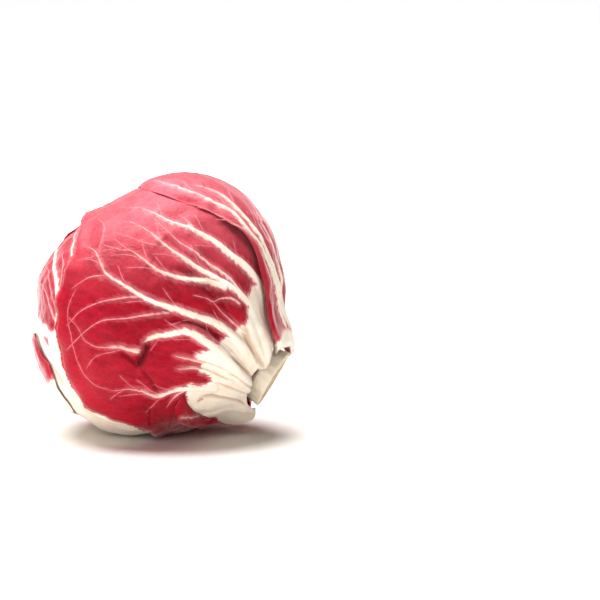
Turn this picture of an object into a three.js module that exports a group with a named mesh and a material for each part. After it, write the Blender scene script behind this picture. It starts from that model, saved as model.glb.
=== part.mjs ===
// A whole round radicchio head lying on its side, stem butt to the right.
// Millimetres, +Z up, the best side of the head faces -Y.
//
// The head is a stack of leaves over a dense heart. Every place on the head is
// a direction from its centre, and every layer is a height above one smooth
// body along that direction, so a leaf always lies on the leaves beneath it.
import * as THREE from "three";

// Driving dimensions
const OUTER_RADIUS = [
  55.5, 58.5, 61.5, 63.5, 64, 62.5, 58.5, 54, 51.8, 51.5, 53.5, 55.5,
  54.5, 57, 58.5, 60, 60.5, 60, 57.2, 54.4, 54, 54.5, 57.5, 58,
]; // the head's outline seen from the front, every 15 degrees from the right
const HALF_DEPTH = 56; // from the centre to the front or the back of the head
const LEAF_LAYERS = 4.6; // what the leaves add to the body at the outline
const LEAN = THREE.MathUtils.degToRad(9); // the front of the head looks up by this
const CENTRE = [-3.19, -0.92, 55.7]; // the head's centre above the surface it lies on
const MEAN_RADIUS = 57; // turns angles on the head into lengths on a leaf
const STEM_ANGLE = THREE.MathUtils.degToRad(-31); // the stem butt seen from the front
const STEM_OUT = THREE.MathUtils.degToRad(86); // from the front axis to the stem butt
const STEM_CLEAR = 15.2; // the leaves start this far from the stem's axis
const GAP = 0.65; // air between two leaves that lie on each other
const DRAPE = [2.5, 12]; // an upper leaf comes down over this width past a lower edge
const COVER = [-2, 4]; // ribs and lifted edges fade out over this way in under the leaf above
const LIFT_WIDTH = 11; // how far the lifted edge of a leaf reaches in
const LIFT_START = [18, 34]; // and over which way from the stem it begins
const LIFT_WAVE = 0.35; // the lifted edge waves by this share of its height
const PETIOLE_END = 52; // a leaf thins from its base to here, measured from the stem
const RIB_HIGHEST = 1.7;
const RIB_SHARE = 0.55; // a rib stands up by this share of its half width
const RIB_SPREAD = 1.25; // the ridge is this much wider than the cream of the rib
const RIB_LEAST = 1.6; // half width of the narrowest ridge
const RIB_START = [15, 34]; // ribs rise out of the thick base over this way from the stem
const FAN_RIB = [0.8, 3]; // half width of the ribs in a plain fan, at the tip and the base
const FAN_BEND = 14; // the outermost ribs of a fan bow sideways by half of this
const FLUSH_LIFT = 0.3; // where an edge lies flush it keeps this share of its lift
const FOLD_DROP = 3.6; // a pleat falls from its crest into its trough over this width
const FOLD_IN = 0.35; // a pleat rises over this share of its length
const FOLD_OUT = 0.75; // and sinks again from here on
const CRENATE = 0.45; // the free edges wave in and out by this
const MARGIN_STEPS = 44; // points on the smooth outline that lengths are measured to

const FAR = true; // a point on the far side, seen through the head from the front

const smoothstep = (from, to, x) => {
  const t = Math.min(1, Math.max(0, (x - from) / (to - from)));
  return t * t * (3 - 2 * t);
};
const mix = (a, b, t) => a + (b - a) * t;

// Vectors as plain arrays: across (right), up the outline, and towards the viewer
const dot = (a, b) => a[0] * b[0] + a[1] * b[1] + a[2] * b[2];
const cross = (a, b) => [
  a[1] * b[2] - a[2] * b[1],
  a[2] * b[0] - a[0] * b[2],
  a[0] * b[1] - a[1] * b[0],
];
const scaled = (a, k) => a.map((x) => x * k);
const plus = (a, b) => a.map((x, i) => x + b[i]);
const unit = (a) => scaled(a, 1 / Math.hypot(...a));

// Smooth closed curve through the outline radii, less what the leaves add.
function bodyOutline(angle) {
  const count = OUTER_RADIUS.length;
  const turn = (((angle / (2 * Math.PI)) % 1) + 1) % 1 * count;
  const i = Math.floor(turn);
  const t = turn - i;
  const [a, b, c, d] = [-1, 0, 1, 2].map((k) => OUTER_RADIUS[(i + k + count) % count]);
  const r = b + 0.5 * t * (c - a + t * (2 * a - 5 * b + 4 * c - d + t * (3 * (b - c) + d - a)));
  return r - LEAF_LAYERS;
}

const MIDDLE_OUTLINE = OUTER_RADIUS.reduce((a, b) => a + b) / OUTER_RADIUS.length - LEAF_LAYERS;

// The outline's radius for a direction, evened out towards the front and the back.
function outlineRadius(n) {
  const spread = n[0] * n[0] + n[1] * n[1];
  return mix(MIDDLE_OUTLINE, bodyOutline(Math.atan2(n[1], n[0])), spread);
}

// The body's surface along a direction, before the head leans back.
function bodyPoint(n) {
  const r = outlineRadius(n);
  return [n[0] * r, n[1] * r, n[2] * (HALF_DEPTH - LEAF_LAYERS)];
}

// The direction of a point given as it is seen from the front, in mm from the centre.
function seen([u, v, far]) {
  const angle = Math.atan2(v, u);
  const rim = bodyOutline(angle) + LEAF_LAYERS;
  const reach = Math.min(0.997, Math.hypot(u, v) / rim);
  const depth = Math.sqrt(1 - reach * reach);
  return [reach * Math.cos(angle), reach * Math.sin(angle), far ? -depth : depth];
}

const STEM = [
  Math.sin(STEM_OUT) * Math.cos(STEM_ANGLE),
  Math.sin(STEM_OUT) * Math.sin(STEM_ANGLE),
  Math.cos(STEM_OUT),
];

// A flat map of the head round the middle of a leaf: x runs away from the stem.
function leafMap(middle) {
  const pole = unit(middle);
  const along = unit(plus(scaled(pole, dot(STEM, pole)), scaled(STEM, -1)));
  const side = cross(pole, along);
  return {
    flat(n) {
      const x = dot(n, along);
      const y = dot(n, side);
      const angle = Math.acos(Math.max(-1, Math.min(1, dot(n, pole))));
      const k = (MEAN_RADIUS * angle) / (Math.hypot(x, y) || 1);
      return [x * k, y * k];
    },
    round([x, y]) {
      const angle = Math.hypot(x, y) / MEAN_RADIUS;
      const k = Math.sin(angle) / (Math.hypot(x, y) || 1);
      return plus(scaled(pole, Math.cos(angle)), plus(scaled(along, x * k), scaled(side, y * k)));
    },
  };
}

// Points at even steps along a smooth curve through the given flat points.
function smoothLine(points, steps) {
  const flat = points.map(([x, y]) => new THREE.Vector3(x, y, 0));
  const curve = new THREE.CatmullRomCurve3(flat, false, "centripetal");
  return curve.getSpacedPoints(steps).map((p) => [p.x, p.y]);
}

// Distance from a flat point to a chain of points, with the share of the way along it.
function nearest(chain, [x, y]) {
  let best = Infinity;
  let way = 0;
  for (let i = 0; i + 1 < chain.length; i++) {
    const [ax, ay] = chain[i];
    const [dx, dy] = [chain[i + 1][0] - ax, chain[i + 1][1] - ay];
    const t = Math.min(1, Math.max(0, ((x - ax) * dx + (y - ay) * dy) / (dx * dx + dy * dy)));
    const far = Math.hypot(x - ax - t * dx, y - ay - t * dy);
    if (far < best) [best, way] = [far, (i + t) / (chain.length - 1)];
  }
  return [best, way];
}

// Depth inside a closed outline: positive inside, negative outside.
function depthInside(outline, point) {
  const [x, y] = point;
  let inside = false;
  for (let i = 0, j = outline.length - 1; i < outline.length; j = i++) {
    const [ax, ay] = outline[i];
    const [bx, by] = outline[j];
    if (ay > y !== by > y && x < ((bx - ax) * (y - ay)) / (by - ay) + ax) inside = !inside;
  }
  const far = nearest([...outline, outline[0]], point)[0];
  return inside ? far : -far;
}

// The leaves, from the heart outwards. Points are mm from the head's centre as seen
// from the front. A rib gives its half width at its tip and at its base.
const LEAVES = [
  {
    name: "leaf_left", middle: [-38, -36], columns: 18, rows: 30, strap: true,
    blade: 1.0, petiole: 2.0, lift: 1.2, waves: 7,
    margin: [
      [39, -36], [29, -32], [15, -32], [0, -28], [-14, -20], [-22, -8], [-25, 8], [-25, 22],
      [-24, 36], [-22, 42, FAR], [-28, 36, FAR], [-38, 26, FAR], [-44, 13, FAR],
      [-46, 0, FAR], [-46, -13, FAR], [-42, -25, FAR], [-34, -35, FAR], [-22, -42, FAR],
      [-6, -46, FAR], [10, -46, FAR], [24, -45, FAR], [35, -44, FAR],
    ],
    ribs: [
      {
        width: [1.2, 8],
        path: [
          [-45, 28.5], [-45.5, 23], [-45, 16.5], [-43.5, 10.5], [-42.5, 3.5], [-43, -9.5],
          [-41.5, -27.5], [-33.5, -41.5], [-20, -51], [-2.5, -54],
        ],
      },
      { width: [0.8, 1.6], path: [[-35, 35], [-36.5, 30], [-37, 25.5], [-36.5, 19.5], [-39.5, 8]] },
    ],
  },
  {
    name: "leaf_far_left", middle: [-30, -40, FAR], columns: 10, rows: 22, strap: true,
    blade: 1.0, petiole: 1.2, lift: 0.6, waves: 5,
    margin: [
      [36, -46, FAR], [20, -47, FAR], [2, -49, FAR], [-14, -50, FAR], [-27, -48, FAR],
      [-38.5, -44], [-43.5, -36.5], [-46, -30], [-47.5, -25], [-50, -21.5], [-52, -17],
      [-53.5, -12.5], [-54, -11, FAR], [-48, -13, FAR], [-42, -19, FAR], [-30, -28, FAR],
      [-11.5, -34, FAR], [15, -37, FAR], [34, -38, FAR],
    ],
    ribs: [
      { width: [1.2, 3], path: [[-53, -18], [-46, -34], [-33, -46, FAR], [-12, -46, FAR], [20, -43, FAR]] },
    ],
  },
  {
    name: "leaf_back_low", middle: [0, -30, FAR], columns: 26, rows: 14,
    blade: 1.0, petiole: 1.4, lift: 1.2, waves: 8, fan: 6,
    margin: [
      [52.5, -23.5, FAR], [42, -18.5, FAR], [19.5, -13, FAR], [-7, -8, FAR], [-28, 1, FAR],
      [-42, 5.5, FAR], [-50, -3, FAR], [-50, -16.5, FAR], [-42, -33, FAR], [-27, -46, FAR],
      [-7, -54, FAR], [14, -53, FAR], [30, -49, FAR], [40, -46],
    ],
    ribs: [],
  },
  {
    name: "leaf_back", middle: [0, 6, FAR], columns: 34, rows: 16,
    blade: 1.0, petiole: 1.5, lift: 1.6, waves: 10, fan: 8,
    margin: [
      [58, -12], [56, 10, FAR], [42, 30, FAR], [22, 44, FAR], [-2.5, 48, FAR],
      [-20, 45, FAR], [-37, 34, FAR], [-48, 19, FAR], [-51, 4, FAR], [-45, -8, FAR],
      [-30, -22, FAR], [-13.5, -32, FAR], [8.5, -39, FAR], [28, -42, FAR], [40, -46, FAR],
    ],
    ribs: [],
  },
  {
    name: "leaf_front", middle: [-4, 0], columns: 52, rows: 24,
    blade: 1.0, petiole: 2.0, lift: 1.7, waves: 17,
    margin: [
      [40, -46, FAR], [24.5, -49.5, FAR], [13, -52, FAR], [3.5, -53.5, FAR],
      [-3, -55], [-11, -51], [-20, -49.5], [-28, -45], [-34.5, -38.5], [-38.5, -30], [-41, -21.5],
      [-42, -12.5], [-42, -3.5], [-41.5, 5.5], [-38.5, 14], [-35, 22], [-33.5, 28.5], [-31.5, 35.5],
      [-27, 40.5, FAR], [-13.5, 46.5, FAR], [2, 53, FAR], [19.5, 55, FAR], [35, 48, FAR],
      [48, 33, FAR], [56, 14, FAR], [58, -6, FAR], [60, -15, FAR],
    ],
    ribs: [
      {
        width: [0.8, 3.4],
        path: [
          [-29.5, 26.5], [-24, 23.5], [-21.5, 19], [-19.5, 14.5], [-15.5, 11.5], [-10, 8.5],
          [-2, 3.5], [9, 0], [20.5, -4], [29, -7], [37, -13], [44.5, -24], [49.5, -33.5],
        ],
      },
      {
        width: [0.5, 1.8],
        path: [[-22, 26], [-12, 24], [-3, 20.5], [2.5, 18], [14, 15], [24, 13], [31.5, 9.5]],
      },
      {
        width: [0.8, 4.2],
        path: [
          [-16.5, 37.5], [-11, 38], [-2, 34.5], [4, 31], [15.5, 24], [25, 17], [35, 8.5],
          [42, 1.5], [46.5, -9.5], [49.5, -23],
        ],
      },
      {
        width: [0.6, 2],
        path: [[-1, 42.5], [6, 36.5], [15.5, 30], [21, 26.5], [26.5, 21.5], [33.5, 14.5], [40, 3.5]],
      },
      {
        width: [0.8, 4.2],
        path: [
          [-15, 45], [-8.5, 45], [-0.5, 43.5], [9, 40.5], [20, 37], [29.5, 31.5], [37, 24.5],
          [45, 16], [49.5, 7], [52.5, -9.5],
        ],
      },
      {
        width: [1.2, 5],
        path: [
          [-4.5, -16.5], [0, -13], [6.5, -11], [15, -10], [20.5, -13], [28, -18.5], [35, -26.5],
          [41, -36],
        ],
      },
      {
        width: [0.5, 2],
        path: [[-19, -37], [-9, -36.5], [2, -38.5], [7, -36], [14, -34.5], [26, -34.5]],
      },
    ],
    folds: [
      {
        high: 3.2, deep: 1.0, reach: [9, 7],
        path: [[10.5, 20], [22, 14.5], [32, 4.5], [41, -9], [46, -22.5], [48.5, -33.5]],
      },
      {
        high: 2.6, deep: 1.2, reach: [8, 6],
        path: [[43, -34], [36, -25], [29, -16.5], [21, -10], [14, -7.5], [5, -8.5], [-3, -13]],
      },
    ],
  },
  {
    name: "leaf_top", middle: [26, 50], columns: 34, rows: 16,
    blade: 1.0, petiole: 1.7, lift: 1.7, waves: 5, flush: [14, 36],
    margin: [
      [53, -18], [50, -10], [48.5, 2], [47.5, 12], [46, 20], [43.5, 28], [39, 35],
      [34, 40.5], [28.5, 44.5], [22.5, 47], [15, 48.7], [7.5, 50.4], [3, 51.8], [-0.5, 52.8], [-4, 53.8],
      [-6.5, 54.5], [-10.5, 49.5, FAR], [-12.5, 38.5, FAR], [-9, 25.5, FAR], [2, 14, FAR],
      [19.5, 7, FAR], [37, 1.5, FAR], [50, -12, FAR],
    ],
    ribs: [
      {
        width: [0.6, 2.2],
        path: [
          [-0.5, 56.5], [4.5, 55.5], [15, 52.5], [22, 50], [29, 46], [35, 42], [40, 36],
          [48.5, 25.5], [52.5, 14.5], [55, -6],
        ],
      },
      {
        width: [0.8, 3.4],
        path: [[18.5, 55], [28.5, 52], [37.5, 44.5], [46, 33.5], [50, 25.5], [53.5, 14.5], [56, -8]],
      },
      {
        width: [0.8, 2.8],
        path: [[10, 50, FAR], [26, 46, FAR], [40, 36, FAR], [50, 20, FAR], [55, 0, FAR]],
      },
      {
        width: [0.8, 2.8],
        path: [[0, 38, FAR], [18, 34, FAR], [34, 24, FAR], [46, 10, FAR], [53, -6, FAR]],
      },
    ],
  },
];

// Settles each leaf's map, outline and ribs. The outline runs round from the stem and
// back to it, and the leaf is a fan of rays from the stem's axis to that outline.
for (const leaf of LEAVES) {
  leaf.map = leafMap(seen(leaf.middle));
  leaf.root = leaf.map.flat(STEM);
  let edge = leaf.margin.map((p) => leaf.map.flat(seen(p)));
  const turn = edge.reduce((sum, [x, y], i) => {
    const [nx, ny] = edge[(i + 1) % edge.length];
    return sum + x * ny - nx * y;
  }, 0);
  if (turn < 0) edge = edge.reverse();
  leaf.edge = edge;
  // The point on the ray to an outline point that is STEM_CLEAR from the stem's axis.
  const start = (p) => {
    const on = (k) => [mix(leaf.root[0], p[0], k), mix(leaf.root[1], p[1], k)];
    let [low, high] = [0, 1];
    for (let i = 0; i < 24; i++) {
      const k = (low + high) / 2;
      if (Math.acos(dot(leaf.map.round(on(k)), STEM)) * MEAN_RADIUS < STEM_CLEAR) low = k;
      else high = k;
    }
    return on(low);
  };
  leaf.start = start;
  const smooth = smoothLine(edge, MARGIN_STEPS);
  const bases = leaf.strap ? [] : [4, 3, 2, 1, 0].map((k) => start(smooth[(MARGIN_STEPS / 4) * k]));
  leaf.outline = [...smooth, ...bases];
  const line = (path) => smoothLine(path.map((p) => leaf.map.flat(seen(p))), 24);
  leaf.ribLines = leaf.ribs.map(({ width, path }) => ({ width, chain: line(path) }));
  // A leaf whose ribs aren't listed has a plain fan of them.
  for (let i = 1; i <= (leaf.fan || 0); i++) {
    const tip = smooth[Math.round((MARGIN_STEPS * (i - 0.5)) / leaf.fan)];
    const base = start(tip);
    const bend = (i / leaf.fan - 0.5) * FAN_BEND;
    const half = [mix(tip[0], base[0], 0.5), mix(tip[1], base[1], 0.5) + bend];
    leaf.ribLines.push({ width: FAN_RIB, chain: smoothLine([tip, half, base], 16) });
  }
  leaf.foldLines = (leaf.folds || []).map((fold) => ({ ...fold, chain: line(fold.path) }));
}

// Height of the ribs: rounded ridges, as high as half their width, that grow to the base.
function ribHeight(leaf, point) {
  let high = 0;
  for (const { width, chain } of leaf.ribLines) {
    const [far, way] = nearest(chain, point);
    const half = Math.max(RIB_LEAST, mix(width[0], width[1], way) * RIB_SPREAD);
    const top = Math.min(RIB_HIGHEST, RIB_SHARE * half);
    if (far < half) high = Math.max(high, top * (1 - (far / half) ** 2));
  }
  const fromRoot = Math.hypot(point[0] - leaf.root[0], point[1] - leaf.root[1]);
  return high * smoothstep(RIB_START[0], RIB_START[1], fromRoot);
}

// Height of the pleats: one side of the fold line stands up and falls off slowly, and
// the other drops into a trough.
function foldHeight(leaf, point) {
  let high = 0;
  for (const { high: crest, deep, reach, chain } of leaf.foldLines) {
    const [far, way] = nearest(chain, point);
    const i = Math.min(chain.length - 2, Math.floor(way * (chain.length - 1)));
    const [dx, dy] = [chain[i + 1][0] - chain[i][0], chain[i + 1][1] - chain[i][1]];
    const side = dx * (point[1] - chain[i][1]) - dy * (point[0] - chain[i][0]);
    const ends = smoothstep(0, FOLD_IN, way) * (1 - smoothstep(FOLD_OUT, 1, way));
    const fall = (width) => Math.exp(-((far / width) ** 2));
    const drop = fall(FOLD_DROP);
    const trough = crest * drop - deep * (fall(reach[1]) - drop);
    high += ends * (side > 0 ? crest * fall(reach[0]) : trough);
  }
  return high;
}

// Everything one leaf has at a direction: how deep inside its outline, how thick its
// blade is, how far its edge is lifted, and its relief.
function leafAt(leaf, n) {
  const point = leaf.map.flat(n);
  const depth = depthInside(leaf.outline, point);
  const fromRoot = Math.hypot(point[0] - leaf.root[0], point[1] - leaf.root[1]);
  const blade = leaf.blade + leaf.petiole * (1 - smoothstep(STEM_CLEAR, PETIOLE_END, fromRoot));
  const wave = 1 + LIFT_WAVE * Math.sin(leaf.waves * Math.atan2(point[1], point[0]));
  const inward = (1 - smoothstep(0, LIFT_WIDTH, depth)) * smoothstep(...LIFT_START, fromRoot);
  const flush = leaf.flush ? mix(FLUSH_LIFT, 1, smoothstep(...leaf.flush, bodyPoint(n)[0])) : 1;
  const lift = leaf.lift * wave * inward * flush;
  return { point, depth, blade, lift };
}

// Heights of one leaf's two faces above the body, with the thickness that lies outside
// each of them, at a direction.
function leafFaces(index, n) {
  const all = LEAVES.map((leaf) => leafAt(leaf, n));
  const bare = (above) => 1 - smoothstep(...COVER, above.depth);
  const shown = all.map((_, i) => all.slice(i + 1).reduce((k, above) => k * bare(above), 1));
  const folds = all.map((leaf, i) => foldHeight(LEAVES[i], leaf.point) * shown[i]);
  let under = 0;
  let total = 0;
  all.forEach((leaf, i) => {
    const mask = 1 - smoothstep(...DRAPE, -leaf.depth);
    const rise = (GAP + leaf.lift * shown[i] + leaf.blade + Math.max(0, folds[i])) * mask;
    if (i < index) under += rise;
    total += rise;
  });
  const own = all[index];
  const floor = under + GAP;
  const inner = floor + own.lift * shown[index] + folds[index];
  const outer = inner + own.blade + ribHeight(LEAVES[index], own.point) * shown[index];
  return { inner: Math.max(inner, floor), outer: Math.max(outer, floor + own.blade), total };
}

// A point at a height above the body, leaned back and set over the floor. Where the
// head rests, every layer is pressed flat, and keeps the layers below it clear.
function place(n, height, below) {
  const body = bodyPoint(n);
  const [x, y, z] = fromHead(scaled(body, 1 + height / Math.hypot(...body)));
  return [x, y, Math.max(z, below)];
}

function fromHead([u, v, w]) {
  return [
    CENTRE[0] + u,
    CENTRE[1] + v * Math.sin(LEAN) - w * Math.cos(LEAN),
    CENTRE[2] + v * Math.cos(LEAN) + w * Math.sin(LEAN),
  ];
}

// A closed body from two like grids of points, outer and inner, joined round the rim.
function shell(outer, inner, across, along) {
  const positions = [];
  const at = (grid, i, j) => grid[i * (along + 1) + j];
  const triangle = (a, b, c) => positions.push(...a, ...b, ...c);
  const quad = (a, b, c, d) => {
    triangle(a, b, c);
    triangle(a, c, d);
  };
  for (let i = 0; i < across; i++)
    for (let j = 0; j < along; j++) {
      const one = (grid) => [at(grid, i, j), at(grid, i, j + 1)];
      const two = (grid) => [at(grid, i + 1, j + 1), at(grid, i + 1, j)];
      const cell = (grid) => [...one(grid), ...two(grid)];
      const [a, b, c, d] = cell(outer);
      quad(a, b, c, d);
      const [e, f, g, h] = cell(inner);
      triangle(e, g, f);
      triangle(e, h, g);
    }
  for (let i = 0; i < across; i++) {
    quad(at(outer, i + 1, 0), at(inner, i + 1, 0), at(inner, i, 0), at(outer, i, 0));
    quad(at(outer, i, along), at(inner, i, along), at(inner, i + 1, along), at(outer, i + 1, along));
  }
  for (let j = 0; j < along; j++) {
    quad(at(outer, 0, j), at(inner, 0, j), at(inner, 0, j + 1), at(outer, 0, j + 1));
    quad(at(outer, across, j + 1), at(inner, across, j + 1), at(inner, across, j), at(outer, across, j));
  }
  return geometryOf(positions);
}

function geometryOf(positions) {
  const geometry = new THREE.BufferGeometry();
  geometry.setAttribute("position", new THREE.Float32BufferAttribute(positions, 3));
  geometry.computeVertexNormals();
  return geometry;
}

// Flat points of a leaf. Most are a fan of rays, from the ring round the stem where
// leaves start to the outline. A strap is bent, so its rows run from side to side.
function leafGrid(leaf) {
  const { columns, rows } = leaf;
  const between = (a, b, t) => [mix(a[0], b[0], t), mix(a[1], b[1], t)];
  if (leaf.strap) {
    const fine = smoothLine(leaf.edge, 2 * rows + 2);
    const one = fine.slice(0, rows + 1);
    const other = fine.slice(rows + 2).reverse();
    const row = (i) => one.map((a, j) => between(a, other[j], i / columns));
    return Array.from({ length: columns + 1 }, (_, i) => row(i));
  }
  return smoothLine(leaf.edge, columns).map((tip, i) => {
    const base = leaf.start(tip);
    const crenate = i > 0 && i < columns ? (i % 2 ? CRENATE : -CRENATE) : 0;
    const last = 1 + crenate / Math.hypot(tip[0] - base[0], tip[1] - base[1]);
    return Array.from({ length: rows + 1 }, (_, j) => between(base, tip, j === rows ? last : j / rows));
  });
}

// One leaf as a closed body: its outer and its inner face on the same grid.
function leafGeometry(index) {
  const leaf = LEAVES[index];
  const outer = [];
  const inner = [];
  for (const ray of leafGrid(leaf))
    for (const point of ray) {
      const n = leaf.map.round(point);
      const faces = leafFaces(index, n);
      outer.push(place(n, faces.outer, Math.max(0, faces.total - faces.outer)));
      inner.push(place(n, faces.inner, Math.max(leaf.blade, faces.total - faces.inner)));
    }
  return shell(outer, inner, leaf.columns, leaf.rows);
}

// Rings of points round the stem's axis, closed at both ends.
function ringed(rings, first, last) {
  const positions = [];
  const sides = rings[0].length;
  const triangle = (a, b, c) => positions.push(...a, ...b, ...c);
  for (let s = 0; s < sides; s++) {
    const next = (s + 1) % sides;
    triangle(first, rings[0][s], rings[0][next]);
    for (let r = 0; r + 1 < rings.length; r++) {
      triangle(rings[r][s], rings[r + 1][s], rings[r + 1][next]);
      triangle(rings[r][s], rings[r + 1][next], rings[r][next]);
    }
    triangle(last, rings[rings.length - 1][next], rings[rings.length - 1][s]);
  }
  return geometryOf(positions);
}

const STEM_SIDE = unit(cross(STEM, [0, 0, 1]));
const STEM_OVER = cross(STEM, STEM_SIDE);
const aroundStem = (angle, turn) =>
  plus(
    scaled(STEM, Math.cos(angle)),
    scaled(plus(scaled(STEM_SIDE, Math.cos(turn)), scaled(STEM_OVER, Math.sin(turn))), Math.sin(angle)),
  );

// The heart: the body itself, with shallow folds that run from the stem to the tip.
const HEART_RINGS = 16;
const HEART_SIDES = 24;
const HEART_FOLDS = 7;
const HEART_FLOOR = 10; // the leaves under the heart are pressed flat below this height
const HEART_DOWN = 0.4; // the heart's surface below the body's
function heartGeometry() {
  const point = (n, fold) => place(n, -HEART_DOWN - fold, HEART_FLOOR);
  const rings = [];
  for (let r = 1; r < HEART_RINGS; r++) {
    const angle = (Math.PI * r) / HEART_RINGS;
    const ring = [];
    for (let s = 0; s < HEART_SIDES; s++) {
      const turn = (2 * Math.PI * s) / HEART_SIDES;
      const fold = 0.6 * Math.sin(angle) * (1 - Math.cos(HEART_FOLDS * turn + 3 * angle));
      ring.push(point(aroundStem(angle, turn), fold));
    }
    rings.push(ring);
  }
  return ringed(rings, point(aroundStem(0, 0), 0), point(aroundStem(Math.PI, 0), 0));
}

const STEM_RADIUS = 12.4;
const STEM_LENGTH = 8;
const STEM_SIDES = 24;
const STEM_FOOT = 0.6; // above the heart

// The stem: a short cut butt that stands on the heart inside the ring of leaf bases.
function stemGeometry() {
  const direction = unit(bodyPoint(STEM));
  const foot = Math.hypot(...bodyPoint(STEM));
  const side = unit(cross(direction, [0, 0, 1]));
  const over = cross(direction, side);
  const ring = (out, radius) =>
    Array.from({ length: STEM_SIDES }, (_, s) => {
      const turn = (2 * Math.PI * s) / STEM_SIDES;
      const r = radius * (1 + 0.05 * Math.sin(3 * turn) + 0.03 * Math.sin(5 * turn + 1));
      const away = plus(scaled(side, Math.cos(turn)), scaled(over, Math.sin(turn)));
      return fromHead(plus(scaled(direction, foot + out), scaled(away, r)));
    });
  const rings = [
    ring(STEM_LENGTH, STEM_RADIUS * 1.02), ring(STEM_LENGTH - 0.9, STEM_RADIUS * 1.08),
    ring(STEM_LENGTH * 0.5, STEM_RADIUS * 1.03), ring(STEM_FOOT, STEM_RADIUS * 0.96),
  ];
  const middle = (out) => fromHead(scaled(direction, foot + out));
  return ringed(rings, middle(STEM_LENGTH + 0.4), middle(STEM_FOOT));
}

const finish = (color, roughness) => new THREE.MeshStandardMaterial({ color, roughness, metalness: 0 });

function mesh(name, geometry, material) {
  const made = new THREE.Mesh(geometry, material);
  made.name = name;
  return made;
}

const head = new THREE.Group();
head.add(mesh("stem", stemGeometry(), finish("#e6d3b3", 0.7)));
head.add(mesh("heart", heartGeometry(), finish("#b3273f", 0.5)));
LEAVES.forEach((leaf, index) => head.add(mesh(leaf.name, leafGeometry(index), finish("#b8183a", 0.42))));

export default head;
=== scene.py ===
"""A whole round radicchio head on its side: crimson leaves with cream ribs over a dense heart.

Lengths in the leaf code are millimetres. The finished meshes are in metres. Every place on
the head is a direction from its centre, and every layer is a height above one smooth body
along that direction, so each leaf lies on the leaves beneath it.
"""

import math

import bpy
import numpy as np
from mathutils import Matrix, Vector


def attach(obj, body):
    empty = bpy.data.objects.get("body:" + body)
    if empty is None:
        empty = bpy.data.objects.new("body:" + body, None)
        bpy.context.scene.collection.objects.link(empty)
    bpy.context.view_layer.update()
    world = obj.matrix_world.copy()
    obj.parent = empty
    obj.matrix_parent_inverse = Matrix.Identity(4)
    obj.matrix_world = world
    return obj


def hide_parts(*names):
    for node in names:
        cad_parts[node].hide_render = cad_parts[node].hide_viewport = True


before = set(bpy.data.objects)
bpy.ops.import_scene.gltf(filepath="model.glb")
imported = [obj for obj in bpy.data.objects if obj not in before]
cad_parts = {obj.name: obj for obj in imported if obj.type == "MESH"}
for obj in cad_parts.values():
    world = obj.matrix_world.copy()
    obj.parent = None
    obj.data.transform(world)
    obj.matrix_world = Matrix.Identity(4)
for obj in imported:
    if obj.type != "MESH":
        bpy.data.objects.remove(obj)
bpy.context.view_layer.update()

MM = 0.001
FAR = True  # marks a place on the far side, away from the viewer

# The body
OUTER_RADIUS = np.array([
    55.5, 58.5, 61.5, 63.5, 64, 62.5, 58.5, 54, 51.8, 51.5, 53.5, 55.5,
    54.5, 57, 58.5, 60, 60.5, 60, 57.2, 54.4, 54, 54.5, 57.5, 58,
])  # the head's outline seen from the front, every 15 degrees from the right
HALF_DEPTH = 56.0
LEAF_LAYERS = 4.6  # the body lies this far under the head's outline
MIDDLE_OUTLINE = OUTER_RADIUS.mean() - LEAF_LAYERS
MEAN_RADIUS = 57.0  # turns angles into mm on the flat maps of the leaves
NEAR_RIM = 0.997  # a place given as seen from the front lies at most this share of the way out
LEAN = math.radians(9)
LEANED = np.array([
    [1, 0, 0], [0, math.sin(LEAN), math.cos(LEAN)], [0, -math.cos(LEAN), math.sin(LEAN)],
])  # across, up and near as rows of world directions
CENTRE = np.array([-3.19, -0.92, 55.7])

# The stem
STEM_ANGLE = math.radians(-31)
STEM_OUT = math.radians(86)
STEM = np.array([
    math.sin(STEM_OUT) * math.cos(STEM_ANGLE),
    math.sin(STEM_OUT) * math.sin(STEM_ANGLE),
    math.cos(STEM_OUT),
])
STEM_CLEAR = 15.2  # the leaves start this far from the stem's axis
STEM_RADIUS = 12.4
STEM_LENGTH = 8.0

# The stack of leaves
BLADE = 1.0
PETIOLE_END = 52.0  # the blade has its own thickness from here out
EDGE_THIN = 0.3  # the free edge keeps this share of the blade's thickness
EDGE_THIN_WIDTH = 3.0
GAP = 0.65
DRAPE = (2.5, 12.0)  # a leaf on top comes down over these ways outside the one beneath
COVER = (-2.0, 4.0)  # depths under a higher leaf at which relief starts to fade, and is gone
LIFT_WIDTH = 11.0
LIFT_START = (18.0, 34.0)
LIFT_WAVE = 0.35
FLUSH_LIFT = 0.3
FLUSH_DOWN = 0.45  # a flush edge comes down by this towards the leaf beneath it
FOLD_IN = 0.35
FOLD_OUT = 0.75
FOLD_REACH = 30.0
CREASE_REACH = 8.0
CREASE_ENDS = 0.25
CREASE_LEAST = 0.35  # a crease narrows to this share at its ends
CREASE_DEEPEST = 0.7  # share of the blade that a crease may cut
CREASE_FULL_SHADE = 2.0  # a crease of this depth has its full painted shade
PUCKERS = ((0.3, 13, 20), (0.14, 6, 40))  # height, wavelength and seed
PUCKER_START = (20, 44)
PUFF = (0.55, 5.5)  # the blade swells by this between two ribs, over this way from a rib
PUFF_EDGE = 6.0

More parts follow.
